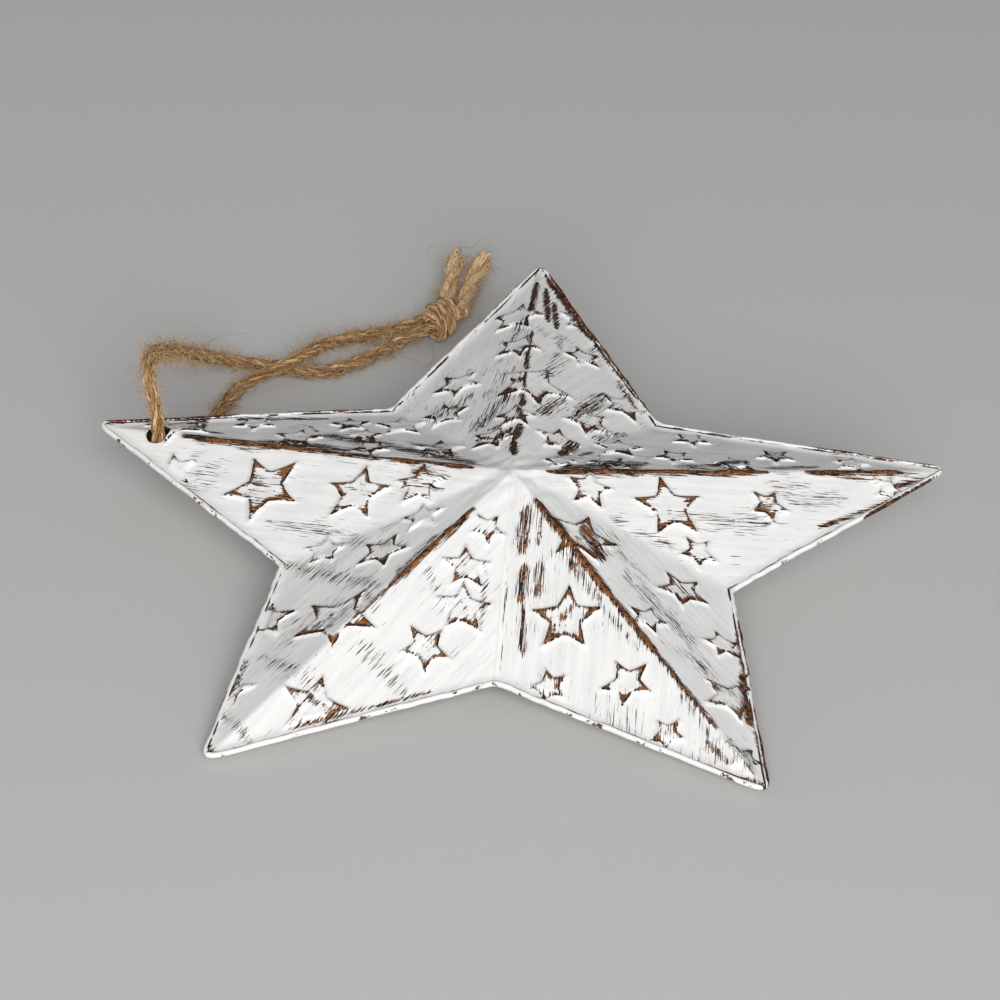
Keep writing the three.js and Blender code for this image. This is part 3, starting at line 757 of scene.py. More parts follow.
BACK_STARS = [
    (0.5, 70, 6.4, 20), (-7.4, 57, 4, 48), (5.6, 55.5, 5, 5), (-16.6, 43.6, 5.2, 30), (-2.6, 43, 7.2, 58),
    (13.4, 41.4, 4, 12), (21, 33.2, 5.4, 40), (-11, 28.4, 5.6, 66), (2.8, 26.8, 5.2, 22),
    (11.6, 20.8, 4.2, 50), (-4.6, 13.8, 4.6, 8), (34.6, 27.4, 6.6, 15), (30.4, 14.6, 4.2, 60),
    (20.6, 9.4, 5.6, 35), (46.4, 21.6, 4.6, 52), (60.4, 22.6, 5.6, 25), (42.4, 9.4, 6.2, 4),
    (55.4, 8.4, 4, 44), (29.8, 0.6, 5.2, 62), (16.6, -3.4, 4, 20), (41.4, -4.6, 4.4, 33),
    (37, -18.4, 6.2, 50), (24.4, -14.6, 5, 14), (11.4, -17.6, 5.2, 70), (27.6, -28, 4.2, 40),
    (41.6, -33.4, 5, 18), (14, -32, 6.2, 56), (31.4, -41.4, 5.4, 8), (44, -49, 5.4, 62),
    (20, -46.6, 4.2, 28), (36.6, -56.6, 4.4, 45), (47.2, -63.2, 3.6, 10), (0.8, -24.6, 4.4, 40),
    (2.2, -41, 5, 22), (-10.6, -16, 5, 12), (-11.6, -35, 6.4, 65), (-22.8, -25.4, 5.6, 30),
    (-25.4, -41.6, 4.8, 54), (-37, -30.6, 5.6, 5), (-35, -53.2, 6.2, 38), (-45.6, -43.4, 4.6, 60),
    (-46.4, -60.6, 4.4, 20), (-24.6, -11.8, 4.2, 48), (-38.8, -15.8, 5.2, 25), (-16.6, -1.4, 4.8, 60),
    (-32, -0.8, 6, 18), (-46.2, 0.6, 5, 42), (-22, 10.8, 5.4, 6), (-38.4, 12.6, 5.6, 55),
    (-53.6, 10.8, 6, 30), (-29.6, 24.6, 5.6, 36), (-46.8, 24.6, 5, 14), (-60.4, 23.8, 4.6, 64),
]
print("stars:", len(FRONT_STARS), "in front,", len(BACK_STARS), "behind")


# %% Strokes of rubbing
# Each stroke goes from one place to another, and has a width and a strength.
FRONT_RUBS = [
    (-68, 21.8, -47, 15, 1.1, 1.05), (-47, 15, -26, 8.2, 0.9, 1), (-26, 8.2, -8, 2.4, 0.8, 0.95),
    (-20, 4, -13, 1, 1.6, 0.62), (-22, 0.4, -13.6, -1.6, 1.2, 0.5), (-48, -3.4, -30, -9.6, 2, 0.42),
    (-38, -8.8, -26, -12, 1.6, 0.36), (-66, 20.4, -50, 14.8, 1.4, 0.42), (-74, 14.6, -54, -5.4, 0.6, 0.8),
    (-65, 24.5, -64.4, 31.6, 0.9, 0.75), (-65, 24.5, -60, 23.2, 0.8, 0.7), (-76, 24, -66, 30.5, 1.6, 0.5),
    (-87, 28.2, -79.6, 29.4, 1.2, 0.82), (-58, 31.6, -40, 32.6, 1.2, 0.74),
    (-52, 18, -30, 11.6, 2.2, 0.72), (-43, 27.4, -41, 24, 0.9, 0.6), (-40, 22, -24, 15, 2.6, 0.7),
    (-24, 14, -8, 4.4, 2.4, 0.72), (-22, 18, -12, 10, 1.6, 0.52), (0, 7, -0.6, 12.2, 1.4, 0.85),
    (-0.6, 13.4, 0.2, 20, 1.3, 0.9), (-4.4, 13.6, -1.4, 18.6, 1.4, 0.8),
    (-8.4, 16.4, -3.4, 13.8, 0.8, 0.8), (0.2, 22, -0.5, 26, 1.1, 0.95), (-6, 20, -1, 22.4, 1, 0.75),
    (0.1, 28, -0.2, 33.4, 0.9, 0.9), (0.1, 35, -0.2, 42, 0.6, 0.8), (0, 44, -0.4, 52, 0.8, 0.85),
    (0, 52, 0, 62, 0.5, 0.8), (-9, 22, -3.4, 34, 3.2, 0.56), (-17, 30, -11, 38, 2.2, 0.52),
    (-8, 36, -3, 46, 1.8, 0.42), (-4, 58, -2.6, 66, 1.6, 0.5), (-0.9, 70, -0.5, 84, 0.9, 1),
    (2.9, 68, 1.6, 82, 0.9, 0.9), (4.8, 66, 3.6, 77, 0.9, 0.85), (1.6, 87.6, 12.4, 66, 1.5, 1.1),
    (12, 66, 18, 54, 0.6, 0.6), (18.6, 51.6, 22.6, 41.4, 1.2, 0.62), (9, 12.4, 11.6, 19.4, 1.7, 0.8),
    (12.6, 13, 15, 17, 1, 0.75), (3.6, 27, 8, 36, 2.2, 0.6), (11, 30, 16, 44, 2.6, 0.62),
    (15, 24, 21, 30, 1.8, 0.58), (5, 44, 6, 56, 2.4, 0.42), (6, 58, 5.6, 64, 1.6, 0.5),
    (7, 2.2, 50, 16, 1.05, 1.1), (12, 3.8, 26, 8.2, 1.4, 1), (30, 9.6, 45, 14.4, 0.9, 0.9),
    (10, 4.6, 26, 13, 2.4, 0.76), (32, 12.6, 46, 19, 2.2, 0.66), (50, 18, 60, 22, 1.6, 0.55),
    (58, 18.7, 77, 24.6, 1.1, 0.95), (64, 19.6, 73, 21.6, 1.4, 0.55), (34, -0.6, 50, 3.6, 3, 0.42),
    (54, 11, 66, 14.6, 2.4, 0.4), (20, -5, 32, -7.4, 1.8, 0.42), (61, 6.2, 82, 21.6, 0.8, 0.75),
    (76, 21, 82, 25, 1.1, 0.7), (5, -7, 12, -16.6, 1.2, 1), (12, -16.6, 21, -29, 1.25, 1.05),
    (21, -29, 31, -42.6, 1, 1), (10.4, -18, 19, -30, 1.7, 0.52), (17, -28, 27, -41.4, 1.2, 0.45),
    (31, -42.6, 43, -59, 0.9, 0.82), (36, -51.6, 43.6, -63.4, 1.1, 0.4),
    (15, -11.4, 18.8, -18.6, 2.2, 0.82), (3.4, -8.6, 3.4, -18.4, 1.8, 0.72), (6.4, -9, 6.4, -17, 1, 0.6),
    (3.8, -21.6, 3.8, -29, 1.6, 0.7), (6.8, -21.6, 6.8, -28, 1.6, 0.62), (4.2, -30, 5, -41, 0.8, 0.66),
    (0.6, -20, 0.8, -44, 0.5, 0.5), (-3.6, -22, -3.4, -36, 1, 0.42), (24, -20, 37, -35, 3, 0.46),
    (18, -11, 27, -19, 1.8, 0.4), (36, -37, 45, -48, 2.8, 0.4), (45.8, -27, 52.2, -66, 0.9, 0.72),
    (47.4, -40, 49.4, -55, 1.3, 0.8), (45, -60.6, 50.4, -69, 1.3, 0.56),
    (41.6, -62, 45.4, -66.6, 1.1, 0.66), (48.6, -70.6, 53, -72.6, 1.2, 0.7),
    (-7, -9.9, -21.6, -30, 1, 1.05), (-21.6, -30, -28, -38.8, 0.6, 0.75),
    (-13.6, -16.6, -20.6, -26.6, 1.3, 0.62), (-43, -14.6, -24, -29, 3, 0.5),
    (-34, -11, -20, -17, 2.2, 0.42), (-36, -40, -27.5, -35, 3, 0.5), (-27, -29, -24, -36, 1.6, 0.5),
    (-45, -44, -34, -55, 2.6, 0.44), (-52, -60, -44, -69, 1.8, 0.5), (-53.4, -69.6, -51.4, -73, 1.4, 0.9),
    (-47.8, -44, -49.8, -54, 0.9, 0.6), (-26, -43, -17, -52, 2.8, 0.42), (-15, -24, -10, -34, 1.8, 0.36),
    (-38, -64, -12, -50.6, 0.6, 0.7), (-32, -62.6, -26, -59.4, 1, 0.6),
]
# These are in the back sheet's own frame, seen peak up, so its left is the front's right.
BACK_RUBS = [
    (0, 6, 0, 24, 0.8, 1), (0, 24, 0, 60, 0.5, 0.8), (1.5, 91, -2.4, 89, 0.9, 0.8),
    (-2.4, 89, -14, 65, 1.6, 1.25), (-14, 65, -26.6, 40.4, 1.2, 0.85), (3, 86, 14, 64, 0.6, 0.55),
    (6, 2, 30, 9.8, 0.9, 1), (30, 9.8, 66, 21.4, 0.55, 0.8), (86.4, 28.9, 58, 33.4, 1.3, 1.05),
    (58, 33.4, 31, 37.4, 1, 0.75), (-86.6, 28.9, -58, 33.4, 1.2, 0.9), (-58, 33.4, -31, 37.4, 0.7, 0.55),
    (87, 26.6, 62, 3, 0.6, 0.5), (-86.4, 27, -70, 10.6, 0.9, 0.72), (8, 10, 24, 16, 2.4, 0.42),
    (4, -5.6, 22, -30.4, 0.8, 0.95), (22, -30.4, 40, -55, 0.5, 0.7), (-46, -24, -50, -46, 0.7, 0.7),
    (-50, -46, -54, -73, 1, 0.9), (54.6, -73.6, 51, -54, 0.8, 0.8), (-4, -5.6, -20, -27.6, 0.8, 1),
    (-20, -27.6, -44, -60.6, 0.5, 0.7), (-7, 2.2, -26, 8.4, 0.7, 0.9), (-26, 8.4, -60, 19.4, 0.5, 0.75),
    (-40, -14, -26, -24, 2.8, 0.42), (34, -2, 46, -4, 2.8, 0.42), (-30, 30, -18, 33, 2.4, 0.42),
    (12, -42, 20, -52, 2.4, 0.4),
]
print("strokes:", len(FRONT_RUBS), "in front,", len(BACK_RUBS), "behind")

# %% Rub the sheets, and make points of the stars
# Unpainted metal on the hollow side; the paint group also darkens it there as painted shade.
RAW_RUB = 3.0  # stronger than any stroke, for metal that was never painted
PAST_HEM = 1.3  # an inset further in than any of the hem


def rubbed(places, strokes):
    """How much each place is rubbed: the strongest of the strokes that cross it."""
    most = np.zeros(len(places))
    for x1, y1, x2, y2, width, strength in strokes:
        start = np.array([x1, y1])
        way = np.array([x2 - x1, y2 - y1])
        share = np.clip((places - start) @ way / (way @ way), 0, 1)
        far = np.linalg.norm(places - start - share[:, None] * way, axis=1)
        taper = np.clip(4 * np.minimum(share, 1 - share) + 0.55, 0, 1)
        most = np.maximum(most, strength * np.exp(-((far / (width * taper)) ** 2)))
    return most


def star_points(name, stars, seed):
    """Points that carry each star's reach, turn and wear."""
    places = np.array([(star[0], star[1], 0) for star in stars], float)
    chance = np.random.default_rng(seed).uniform(0.45, 1.05, len(stars))
    wear = [star[4] if len(star) > 4 else guess for star, guess in zip(stars, chance)]
    mesh = bpy.data.meshes.new(name)
    mesh.from_pydata(places.tolist(), [], [])
    store(mesh, "reach", np.array([s[2] for s in stars], float))
    store(mesh, "turn", np.radians([s[3] for s in stars]))
    store(mesh, "wear", np.array(wear, float))
    return new_object(name, mesh)


def raw_inside(mesh):
    """Where a sheet's hollow side is, which was never painted."""
    normal_up = read_values(mesh.vertex_normals, "vector")[:, 2]
    inset = read_values(mesh.attributes["inset"].data, "value", 1)[:, 0]
    return (normal_up < FLAT_UP) & (inset > PAST_HEM)


for sheet, strokes in ((front_sheet, FRONT_RUBS), (back_sheet, BACK_RUBS)):
    rub = rubbed(read_values(sheet.data.vertices, "co")[:, :2], strokes)
    raw = raw_inside(sheet.data)
    rub[raw] = RAW_RUB
    store(sheet.data, "rub", rub)
    print(sheet.name, len(rub), "vertices, and", int(raw.sum()), "of them raw inside")

# %% [markdown]
# Worn paint and painted shade, as one group for both sheets
#
# The paint is thin white, brushed on dry and rubbed back until brown metal shows. Where it has gone is
# the strongest of six masks: the inside and the ends of every little star, its outline, the streaks of
# the brush, the rubbed strokes, the groove beside the rim, and the rim's hem. Noises make all of them
# ragged: two that are drawn out along the brush, and four rounder ones, from fine specks to wide
# drifts. One group makes the mask, the colours, the roughness and the height of the paint, and each
# sheet's material sets its own amounts. The group also paints shade into the bare metal's colour:
# darker on the facets that lean away from the lamp, along the little stars' outlines as a painted
# shadow of their raised step, at the borders of bare patches as a painted shadow of the paint's edge,
# and on the sheet's hollow inside.


# %% The group of worn paint and painted shade
DULL_WHITE = (0.745, 0.745, 0.74, 1)
BRUSHED_WHITE = (0.82, 0.82, 0.81, 1)
THIN_PAINT = (0.36, 0.34, 0.32, 1)
DARK_METAL = (0.016, 0.006, 0.003, 1)
# The first rust is the bare metal's colour on facets that face the lamp, and the second is a darker copy
# with painted shade, for the facets that lean away from it.
LIT_FACET_RUST = (0.33, 0.125, 0.034, 1)
SHADED_FACET_RUST = (0.062, 0.02, 0.008, 1)


def paint_wear_and_shade_group():
    board, given, finish = tree_with(
        "ShaderNodeTree",
        "worn paint",
        {
            "Place": "Vector",
            "Grain": "Vector",
            "Star": "Vector",
            "Inset": 10.0,
            "Rub": 0.0,
            # The next input sets how much shade is painted into the bare metal and the star outlines.
            "Tarnish": 0.4,
            "Hairs": 0.5,
            "Rim wear": 0.5,
        },
        {"Colour": "Color", "Bare": "Float", "Roughness": "Float", "Height": "Float"},
    )

    def drawn(length, width, shift):
        """A noise about zero, in streaks as long and wide as given, along the brush."""
        along, beside, seed = board.parts(given["Grain"])
        return board.noise(board.joined(along / length, beside / width, seed + shift), 2.0, 0.55) - 0.5

    def spotted(per_mm, detail=2.0, roughness=0.55):
        """A noise about zero, in round spots."""
        return board.noise(board.scaled(given["Place"], per_mm), detail, roughness) - 0.5

    hairs = drawn(6.0, 0.24, 0.0)
    fine_hairs = drawn(2.8, 0.13, 4.0)
    strokes = drawn(22.0, 1.3, 17.0)
    rag = spotted(1.3, 4.0, 0.7)
    cloud = spotted(0.3)
    one_side = spotted(0.16, 1.0)
    drift = spotted(0.085)
    inset = given["Inset"]
    bristle = (hairs + fine_hairs * 0.7) * (0.2 + board.ease(inset, 0.5, 1.0) * 0.8)
    patchy = cloud * 1.2 + rag * 0.8 + bristle * 0.4

    edge, reach, wear = board.parts(given["Star"])
    on_star = board.ease(edge, -0.06, 0.08)
    band = 1 - board.ease(edge, 0.12, 0.95)
    ends = board.ease(reach, 0.4, 0.75)
    chance = one_side * 2.0 + cloud * 1.6 + rag * 1.1 + bristle * 1.8
    star_worn = wear * (band * 0.52 + ends * 0.38) + chance
    star_bare = board.ease(star_worn, 0.44, 0.5) * on_star

    # A little star's outline is its worn raised edge, and also a painted shadow of its raised step: more
    # of it is dark on the facets with more painted shade.
    outline = board.ease(edge, -0.24, -0.08) * (1 - board.ease(edge, 0.1, 0.28))
    outline_wear_shade_amount = outline * (0.1 + wear * 0.3 + given["Tarnish"] * 0.2) + patchy * 1.5
    outline_wear_shade_mask = board.ease(outline_wear_shade_amount, 0.42, 0.47) * board.ease(outline, 0.35, 0.6)

    worn = board.maths("MAXIMUM", given["Rub"], board.ease(drift, 0.02, 0.2) * given["Hairs"])
    streak_bare = board.ease(bristle + worn * 0.56, 0.29, 0.33)

    near_rub = board.ease(given["Rub"], 0.15, 0.65)
    rubbed_off = given["Rub"] + (rag * 2.8 + bristle * 1.8 + cloud * 1.3) * near_rub
    rub_bare = board.ease(rubbed_off, 0.62, 0.68)

    groove = board.ease(inset, 0.68, 0.82) * (1 - board.ease(inset, 0.95, 1.3))
    groove_worn = groove * given["Rim wear"] + one_side * 1.6 + cloud * 0.4 + rag * 0.5
    groove_bare = board.ease(groove_worn, 0.5, 0.58) * board.ease(groove, 0.1, 0.4)

    hem = 1 - board.ease(inset, 0.1, 0.5)
    hem_worn = hem * given["Rim wear"] * 0.6 + patchy * 1.2
    hem_bare = board.ease(hem_worn, 0.5, 0.58) * board.ease(hem, 0.1, 0.4)

    bare = star_bare
    for more in (outline_wear_shade_mask, streak_bare, rub_bare, groove_bare, hem_bare):
        bare = board.maths("MAXIMUM", bare, more)

    def mixed(share, first, second):
        values = {"Factor": share, 6: first, 7: second}
        return board.make("ShaderNodeMix", values, 2, data_type="RGBA")

    # Painted shade in the bare metal: the middles of bare patches get more orange, so that their borders
    # stay dark as a painted shadow of the paint's edge. The outlines and the never painted hollow inside
    # are darkened as painted shade, and the facets with more painted shade take the darker rust.
    deep = board.maths("MAXIMUM", (star_worn - 0.5) * star_bare, (rubbed_off - 0.68) * rub_bare)
    edge_and_hollow_shade = outline_wear_shade_mask * 0.2 + board.ease(given["Rub"], 1.6, 2.6) * 0.4
    orange_share_with_shade = cloud * 0.3 + rag * 0.7 - bristle * 0.6 + board.ease(deep, 0.0, 0.3) * 0.12 - edge_and_hollow_shade
    rust_by_facet_shade = mixed(given["Tarnish"], LIT_FACET_RUST, SHADED_FACET_RUST)
    metal = mixed(board.ease(orange_share_with_shade, -0.04, 0.2), DARK_METAL, rust_by_facet_shade)
    white = mixed(board.ease(strokes + fine_hairs * 0.6, -0.2, 0.2), DULL_WHITE, BRUSHED_WHITE)
    thin = board.ease(bristle + worn * 0.4, 0.14, 0.3) * 0.35
    colour = mixed(bare, mixed(thin, white, THIN_PAINT), metal)
    height = (1 - bare) * 0.05 + strokes * 0.05 + fine_hairs * 0.03 + rag * 0.03
    roughness = 0.5 + bare * 0.25 + rag * 0.25
    results = {"Colour": colour, "Bare": bare, "Roughness": roughness, "Height": height}
    for name, value in results.items():
        board.feed(finish.inputs[name], value)
    return board.tree


paint_wear_and_shade = paint_wear_and_shade_group()
print("worn paint:", len(paint_wear_and_shade.nodes), "nodes")


# %% A material for each sheet
def sheet_paint(name, hairs, rim_wear):
    material = bpy.data.materials.new(name)
    material.use_nodes = True
    board = Board(material.node_tree)
    shader = material.node_tree.nodes["Principled BSDF"]
    place = board.make("ShaderNodeTexCoord", key="Object")
    values = {"Place": board.scaled(place, 1 / MM), "Hairs": hairs, "Rim wear": rim_wear}
    # The amount of painted shade comes with the mesh as one of these facts.
    facts = {"Grain": "Vector", "Star": "Vector", "Inset": "Fac", "Rub": "Fac", "Tarnish": "Fac"}
    for fact, key in facts.items():
        values[fact] = board.make("ShaderNodeAttribute", key=key, attribute_name=fact.lower())
    group = board.tree.nodes.new("ShaderNodeGroup")
    group.node_tree = paint_wear_and_shade
    for key, value in values.items():
        board.feed(group.inputs[key], value)
    board.feed(shader.inputs["Base Color"], board.out(group, "Colour"))
    board.feed(shader.inputs["Roughness"], board.out(group, "Roughness"))
    board.feed(shader.inputs["Metallic"], board.out(group, "Bare") * 0.1)
    shader.inputs["Specular IOR Level"].default_value = 0.34
    relief = {"Height": board.out(group, "Height"), "Distance": 0.001, "Strength": 0.7}
    board.feed(shader.inputs["Normal"], board.make("ShaderNodeBump", relief))
    return material


front_paint = sheet_paint("worn_paint_front", 0.34, 0.6)
back_paint = sheet_paint("worn_paint_back", 0.4, 0.56)
print("materials:", front_paint.name, back_paint.name)


# %% Press the stars and lay the sheets in place
def pressed(sheet, stars, paint, place, seed):
    points = star_points(sheet.name + "_points", stars, seed)
    grown(sheet, press_stars, Stars=points, Paint=paint, **EMBOSSED)
    bpy.data.objects.remove(points)
    sheet.data.transform(Matrix.Scale(MM, 4) @ place)
    print(sheet.name, len(stars), "stars,", len(sheet.data.polygons), "faces")


pressed(front_sheet, FRONT_STARS, front_paint, STAR_PLACE, 3)
pressed(back_sheet, BACK_STARS, back_paint, STAR_PLACE @ PEAK_UP_BACK, 4)

# %% [markdown]
# The jute twine
#
# Jute twine is three plies laid round each other, and each ply is a bundle of coarse fibres twisted the
# other way. A plain tube with a bump would look like cable. So a tree follows the route, repeats it
# once for every fibre, and moves each copy out along two turning circles: the ply's round the twine,
# and the fibre's round its ply. A thicker core inside each ply fills it. At a frayed end the circles
# open out and lengths differ.

# %% The tree that lays plies and fibres
TURN = 2 * math.pi
PLIES = 3
# These are shares of the twine's radius.
PLY_CIRCLE = 0.47
CORE_GIRTH = 0.4
FIBRE_CIRCLE = 0.38
FIBRE_GIRTH = (0.085, 0.15)
FIBRE_APART = 0.618  # the share of a turn from one fibre to the next, which never repeats


def twine_tree():
    board, given, finish = tree_with(
        "GeometryNodeTree",
        "lay twine",
        {
            "Geometry": "Geometry",
            "Radius": TWINE_RADIUS,
            "Lay": 9.5,
            "Fibres": 10,
            "Step": 0.55,
            "Fray": 0.0,
            "Fray from": 0.5,
            "Uneven ends": 0.0,
            "Pale": 0.0,
            "Seed": 1,
            "Jute": "Material",
        },
        {"Geometry": "Geometry"},
    )
    route = board.make("GeometryNodeMeshToCurve", {"Mesh": given["Geometry"]})
    values = {"Curve": route, "Length": given["Step"]}
    route = board.make("GeometryNodeResampleCurve", values, mode="LENGTH")
    length = board.make("GeometryNodeCurveLength", {0: route})
    solids = []
    for is_core in (True, False):
        fibres = 1 if is_core else given["Fibres"]
        values = {"Geometry": route, "Amount": fibres * PLIES}
        copies = board.add("GeometryNodeDuplicateElements", values, domain="SPLINE")
        numbered = board.stored(board.out(copies), "strand", board.out(copies, 1), domain="CURVE")
        strand = board.fact("strand")

        def chance(low, high, shift):
            return board.chance(low, high, ID=strand + shift, Seed=given["Seed"])

        def circled(reach, turn):
            return reach * board.maths("COSINE", turn), reach * board.maths("SINE", turn)

        ply = board.maths("FLOOR", strand / fibres + 0.001)
        share = board.make("GeometryNodeSplineParameter", key="Factor")
        share = share * (1 - given["Uneven ends"] * chance(0.0, 1.0, 50))
        sampled = board.add("GeometryNodeSampleCurve", {"Curves": route, "Factor": share}, mode="FACTOR")
        place, tangent, normal = (board.out(sampled, key) for key in ("Position", "Tangent", "Normal"))
        beside = board.vector("CROSS_PRODUCT", tangent, normal)
        along = share * length
        laid = along / given["Lay"]
        fray = board.ease(share, given["Fray from"], 1.0) * given["Fray"]
        sway = board.noise(board.joined(along / 7.0, ply * 9.3, given["Seed"] * 3.7), 1.0)
        ply_turn = ply * (TURN / PLIES) + laid * TURN + (sway - 0.5) * 0.9
        ply_reach = given["Radius"] * PLY_CIRCLE * (1 + fray * 1.1) * (0.86 + sway * 0.28)
        out_x, out_y = circled(ply_reach, ply_turn)
        girth = given["Radius"] * CORE_GIRTH * (1 - fray * 0.6)
        if not is_core:
            rough = board.noise(board.joined(along / 1.5, strand * 5.1, given["Seed"] * 1.3))
            turn = strand * (TURN * FIBRE_APART) - laid * (TURN * 0.55) + rough * 1.5
            reach = given["Radius"] * (FIBRE_CIRCLE + (rough - 0.5) * 0.36)
            more_x, more_y = circled(reach * (1 + fray * chance(0.2, 1.6, 90)), turn)
            out_x = out_x + more_x
            out_y = out_y + more_y
            girth = given["Radius"] * chance(*FIBRE_GIRTH, 130) * (0.8 + rough * 0.4) * (1 - fray * 0.25)
        offset = board.vector("ADD", board.scaled(normal, out_x), board.scaled(beside, out_y))
        values = {"Geometry": numbered, "Position": board.vector("ADD", place, offset)}
        curve = board.stored(board.make("GeometryNodeSetPosition", values), "along", along)
        # The cores show only in the gaps between the plies, and their dark tone is painted shade in these
        # gaps.
        tone = chance(0.05, 0.25, 7) if is_core else chance(0.15, 1.0, 7)
        curve = board.stored(curve, "tone", given["Pale"] + tone)
        solids.append(board.swept(curve, 6 if is_core else 4, Scale=girth))
    smooth = board.make("GeometryNodeSetShadeSmooth", {0: board.together(*solids)})
    return board.finished(finish, smooth, given["Jute"])


lay_twine = twine_tree()
print("lay twine:", len(lay_twine.nodes), "nodes")

# %% [markdown]
# Jute's colour
#
# Jute is a dry golden brown. Each fibre has its own tone, and no fibre is even along its length. The
# cores, which show only in the gaps between the plies, are given a dark reddish tone that paints the
# shade in these gaps. The tone and the length come with the mesh, so the pattern follows the twine
# through every bend.


# %% Jute material
def jute_material():
    material = bpy.data.materials.new("jute")
    material.use_nodes = True
    board = Board(material.node_tree)
    shader = material.node_tree.nodes["Principled BSDF"]
    tone = board.make("ShaderNodeAttribute", key="Fac", attribute_name="tone")
    along = board.make("ShaderNodeAttribute", key="Fac", attribute_name="along")
    streak = board.noise(board.joined(along / 3.0, tone * 40, 0.0), 3.0)
    grit = board.noise(board.joined(along / 0.5, tone * 90, 4.0))
    ramp = board.tree.nodes.new("ShaderNodeValToRGB")
    board.feed(ramp.inputs["Fac"], tone * 0.72 + (streak - 0.5) * 0.8 + (grit - 0.5) * 0.3 + 0.06)
    stops = [
        (0.0, (0.08, 0.034, 0.014, 1)),
        (0.25, (0.23, 0.12, 0.05, 1)),
        (0.55, (0.47, 0.285, 0.13, 1)),
        (1.0, (0.86, 0.64, 0.38, 1)),
    ]
    for place, colour in stops[1:3]:
        ramp.color_ramp.elements.new(place)
    for element, (place, colour) in zip(ramp.color_ramp.elements, stops):
        element.position = place
        element.color = colour
    board.feed(shader.inputs["Base Color"], board.out(ramp))
    board.feed(shader.inputs["Roughness"], 0.72 + (grit - 0.5) * 0.3)
    shader.inputs["Specular IOR Level"].default_value = 0.3
    bump = board.make("ShaderNodeBump", {"Height": grit, "Distance": 0.00008, "Strength": 0.8})
    board.feed(shader.inputs["Normal"], bump)
    return material


jute = jute_material()
print("jute:", len(jute.node_tree.nodes), "nodes")


# %% Pieces of twine
def route_mesh(*lines):
    mesh = bpy.data.meshes.new("route")
    points = []
    edges = []
    for line in lines:
        edges.extend((i, i + 1) for i in range(len(points), len(points) + len(line) - 1))
        points.extend(tuple(p) for p in line)
    mesh.from_pydata(points, edges, [])
    return mesh


def placed(name, meshes):
    """Several meshes in one object in the row frame, which keeps the facts on their vertices."""
    whole = bmesh.new()
    for mesh in meshes:
        whole.from_mesh(mesh)
    result = meshes[0].copy()
    whole.to_mesh(result)
    whole.free()
    result.name = name
    result.transform(Matrix.Scale(MM, 4))
    print(name, sum(len(p.vertices) - 2 for p in result.polygons), "triangles")
    return new_object(name, result)


def twine_piece(name, lines, seed, **values):
    """One piece of twine along one or more lines."""
    meshes = []
    for i, line in enumerate(lines):
        strand = new_object("strand", route_mesh(line))
        grown(strand, lay_twine, Jute=jute, Seed=seed + i, **values)
        meshes.append(strand.data)
        bpy.data.objects.remove(strand)
    return placed(name, meshes)


# %% The strands, the knot and the tails
def in_knot(points):
    """Points given along, across and above the knot's middle."""
    turn = Matrix.Rotation(KNOT_TURN, 3, "Z")
    return [KNOT_MIDDLE + turn @ Vector(p) for p in points]


def knot_wrap():
    """The strand that goes round the others a little more than twice, with its ends tucked in."""
    points = []
    for i in range(29):
        share = i / 28
        turn = TURN * (0.1 + 2.4 * share)
        tuck = 1 - 0.45 * (max(0, 0.12 - share) + max(0, share - 0.88)) / 0.12
        across, above = 3.15 * tuck * math.cos(turn), 2.95 * tuck * math.sin(turn)
        points.append((-3.7 + 7.2 * share + 0.36 * across, across, above))
    return in_knot(points)


front_jute = twine_piece("jute_front", [front_line], 2)
back_jute = twine_piece("jute_back", [back_line], 5)
KNOT_CORE = [
    [(-5.2, 0.3, -0.8), (-2.4, -0.5, -0.7), (1, -1.2, 0), (5.4, -1.9, 0.3)],
    [(-1.4, 3.5, -0.8), (0.6, 2.2, -0.4), (2.4, 1.6, 0), (4.4, 1.7, 0.2)],
]
knot_lines = [smooth_line(in_knot(points)) for points in KNOT_CORE] + [smooth_line(knot_wrap())]
knot = twine_piece("jute_knot", knot_lines, 8, Lay=8.5, Pale=0.16)
FRAYED = {
    "Radius": 1.85,
    "Lay": 34.0,
    "Fibres": 30,
    "Step": 0.7,
    "Pale": 0.62,
    "Fray": 0.36,
    "Fray from": 0.5,
    "Uneven ends": 0.18,
}
tail_a, tail_b = (smooth_line(route) for route in (TAIL_A_ROUTE, TAIL_B_ROUTE))
end_a = twine_piece("jute_end_a", [tail_a], 12, **FRAYED)
end_b = twine_piece("jute_end_b", [tail_b], 15, **FRAYED)

# %% [markdown]
# Loose fibres
#
# Jute is never clean: short curly fibres stand off it all along, and a few long ones wander. A tree
# makes a thin tube round the route, scatters points on it, sets a short line on each, bends the lines
# with a noise that grows towards their ends, and gives them a thickness. It grows them twice: first
# those that stand off, and then more and shorter ones that lie close and curl tightly, which make the
# surface woolly. The few long ones are drawn one by one, where they are seen, and join the others
# before they get their thickness.


# %% The tree that grows loose fibres
LEAST_HEIGHT = 0.08  # above the table


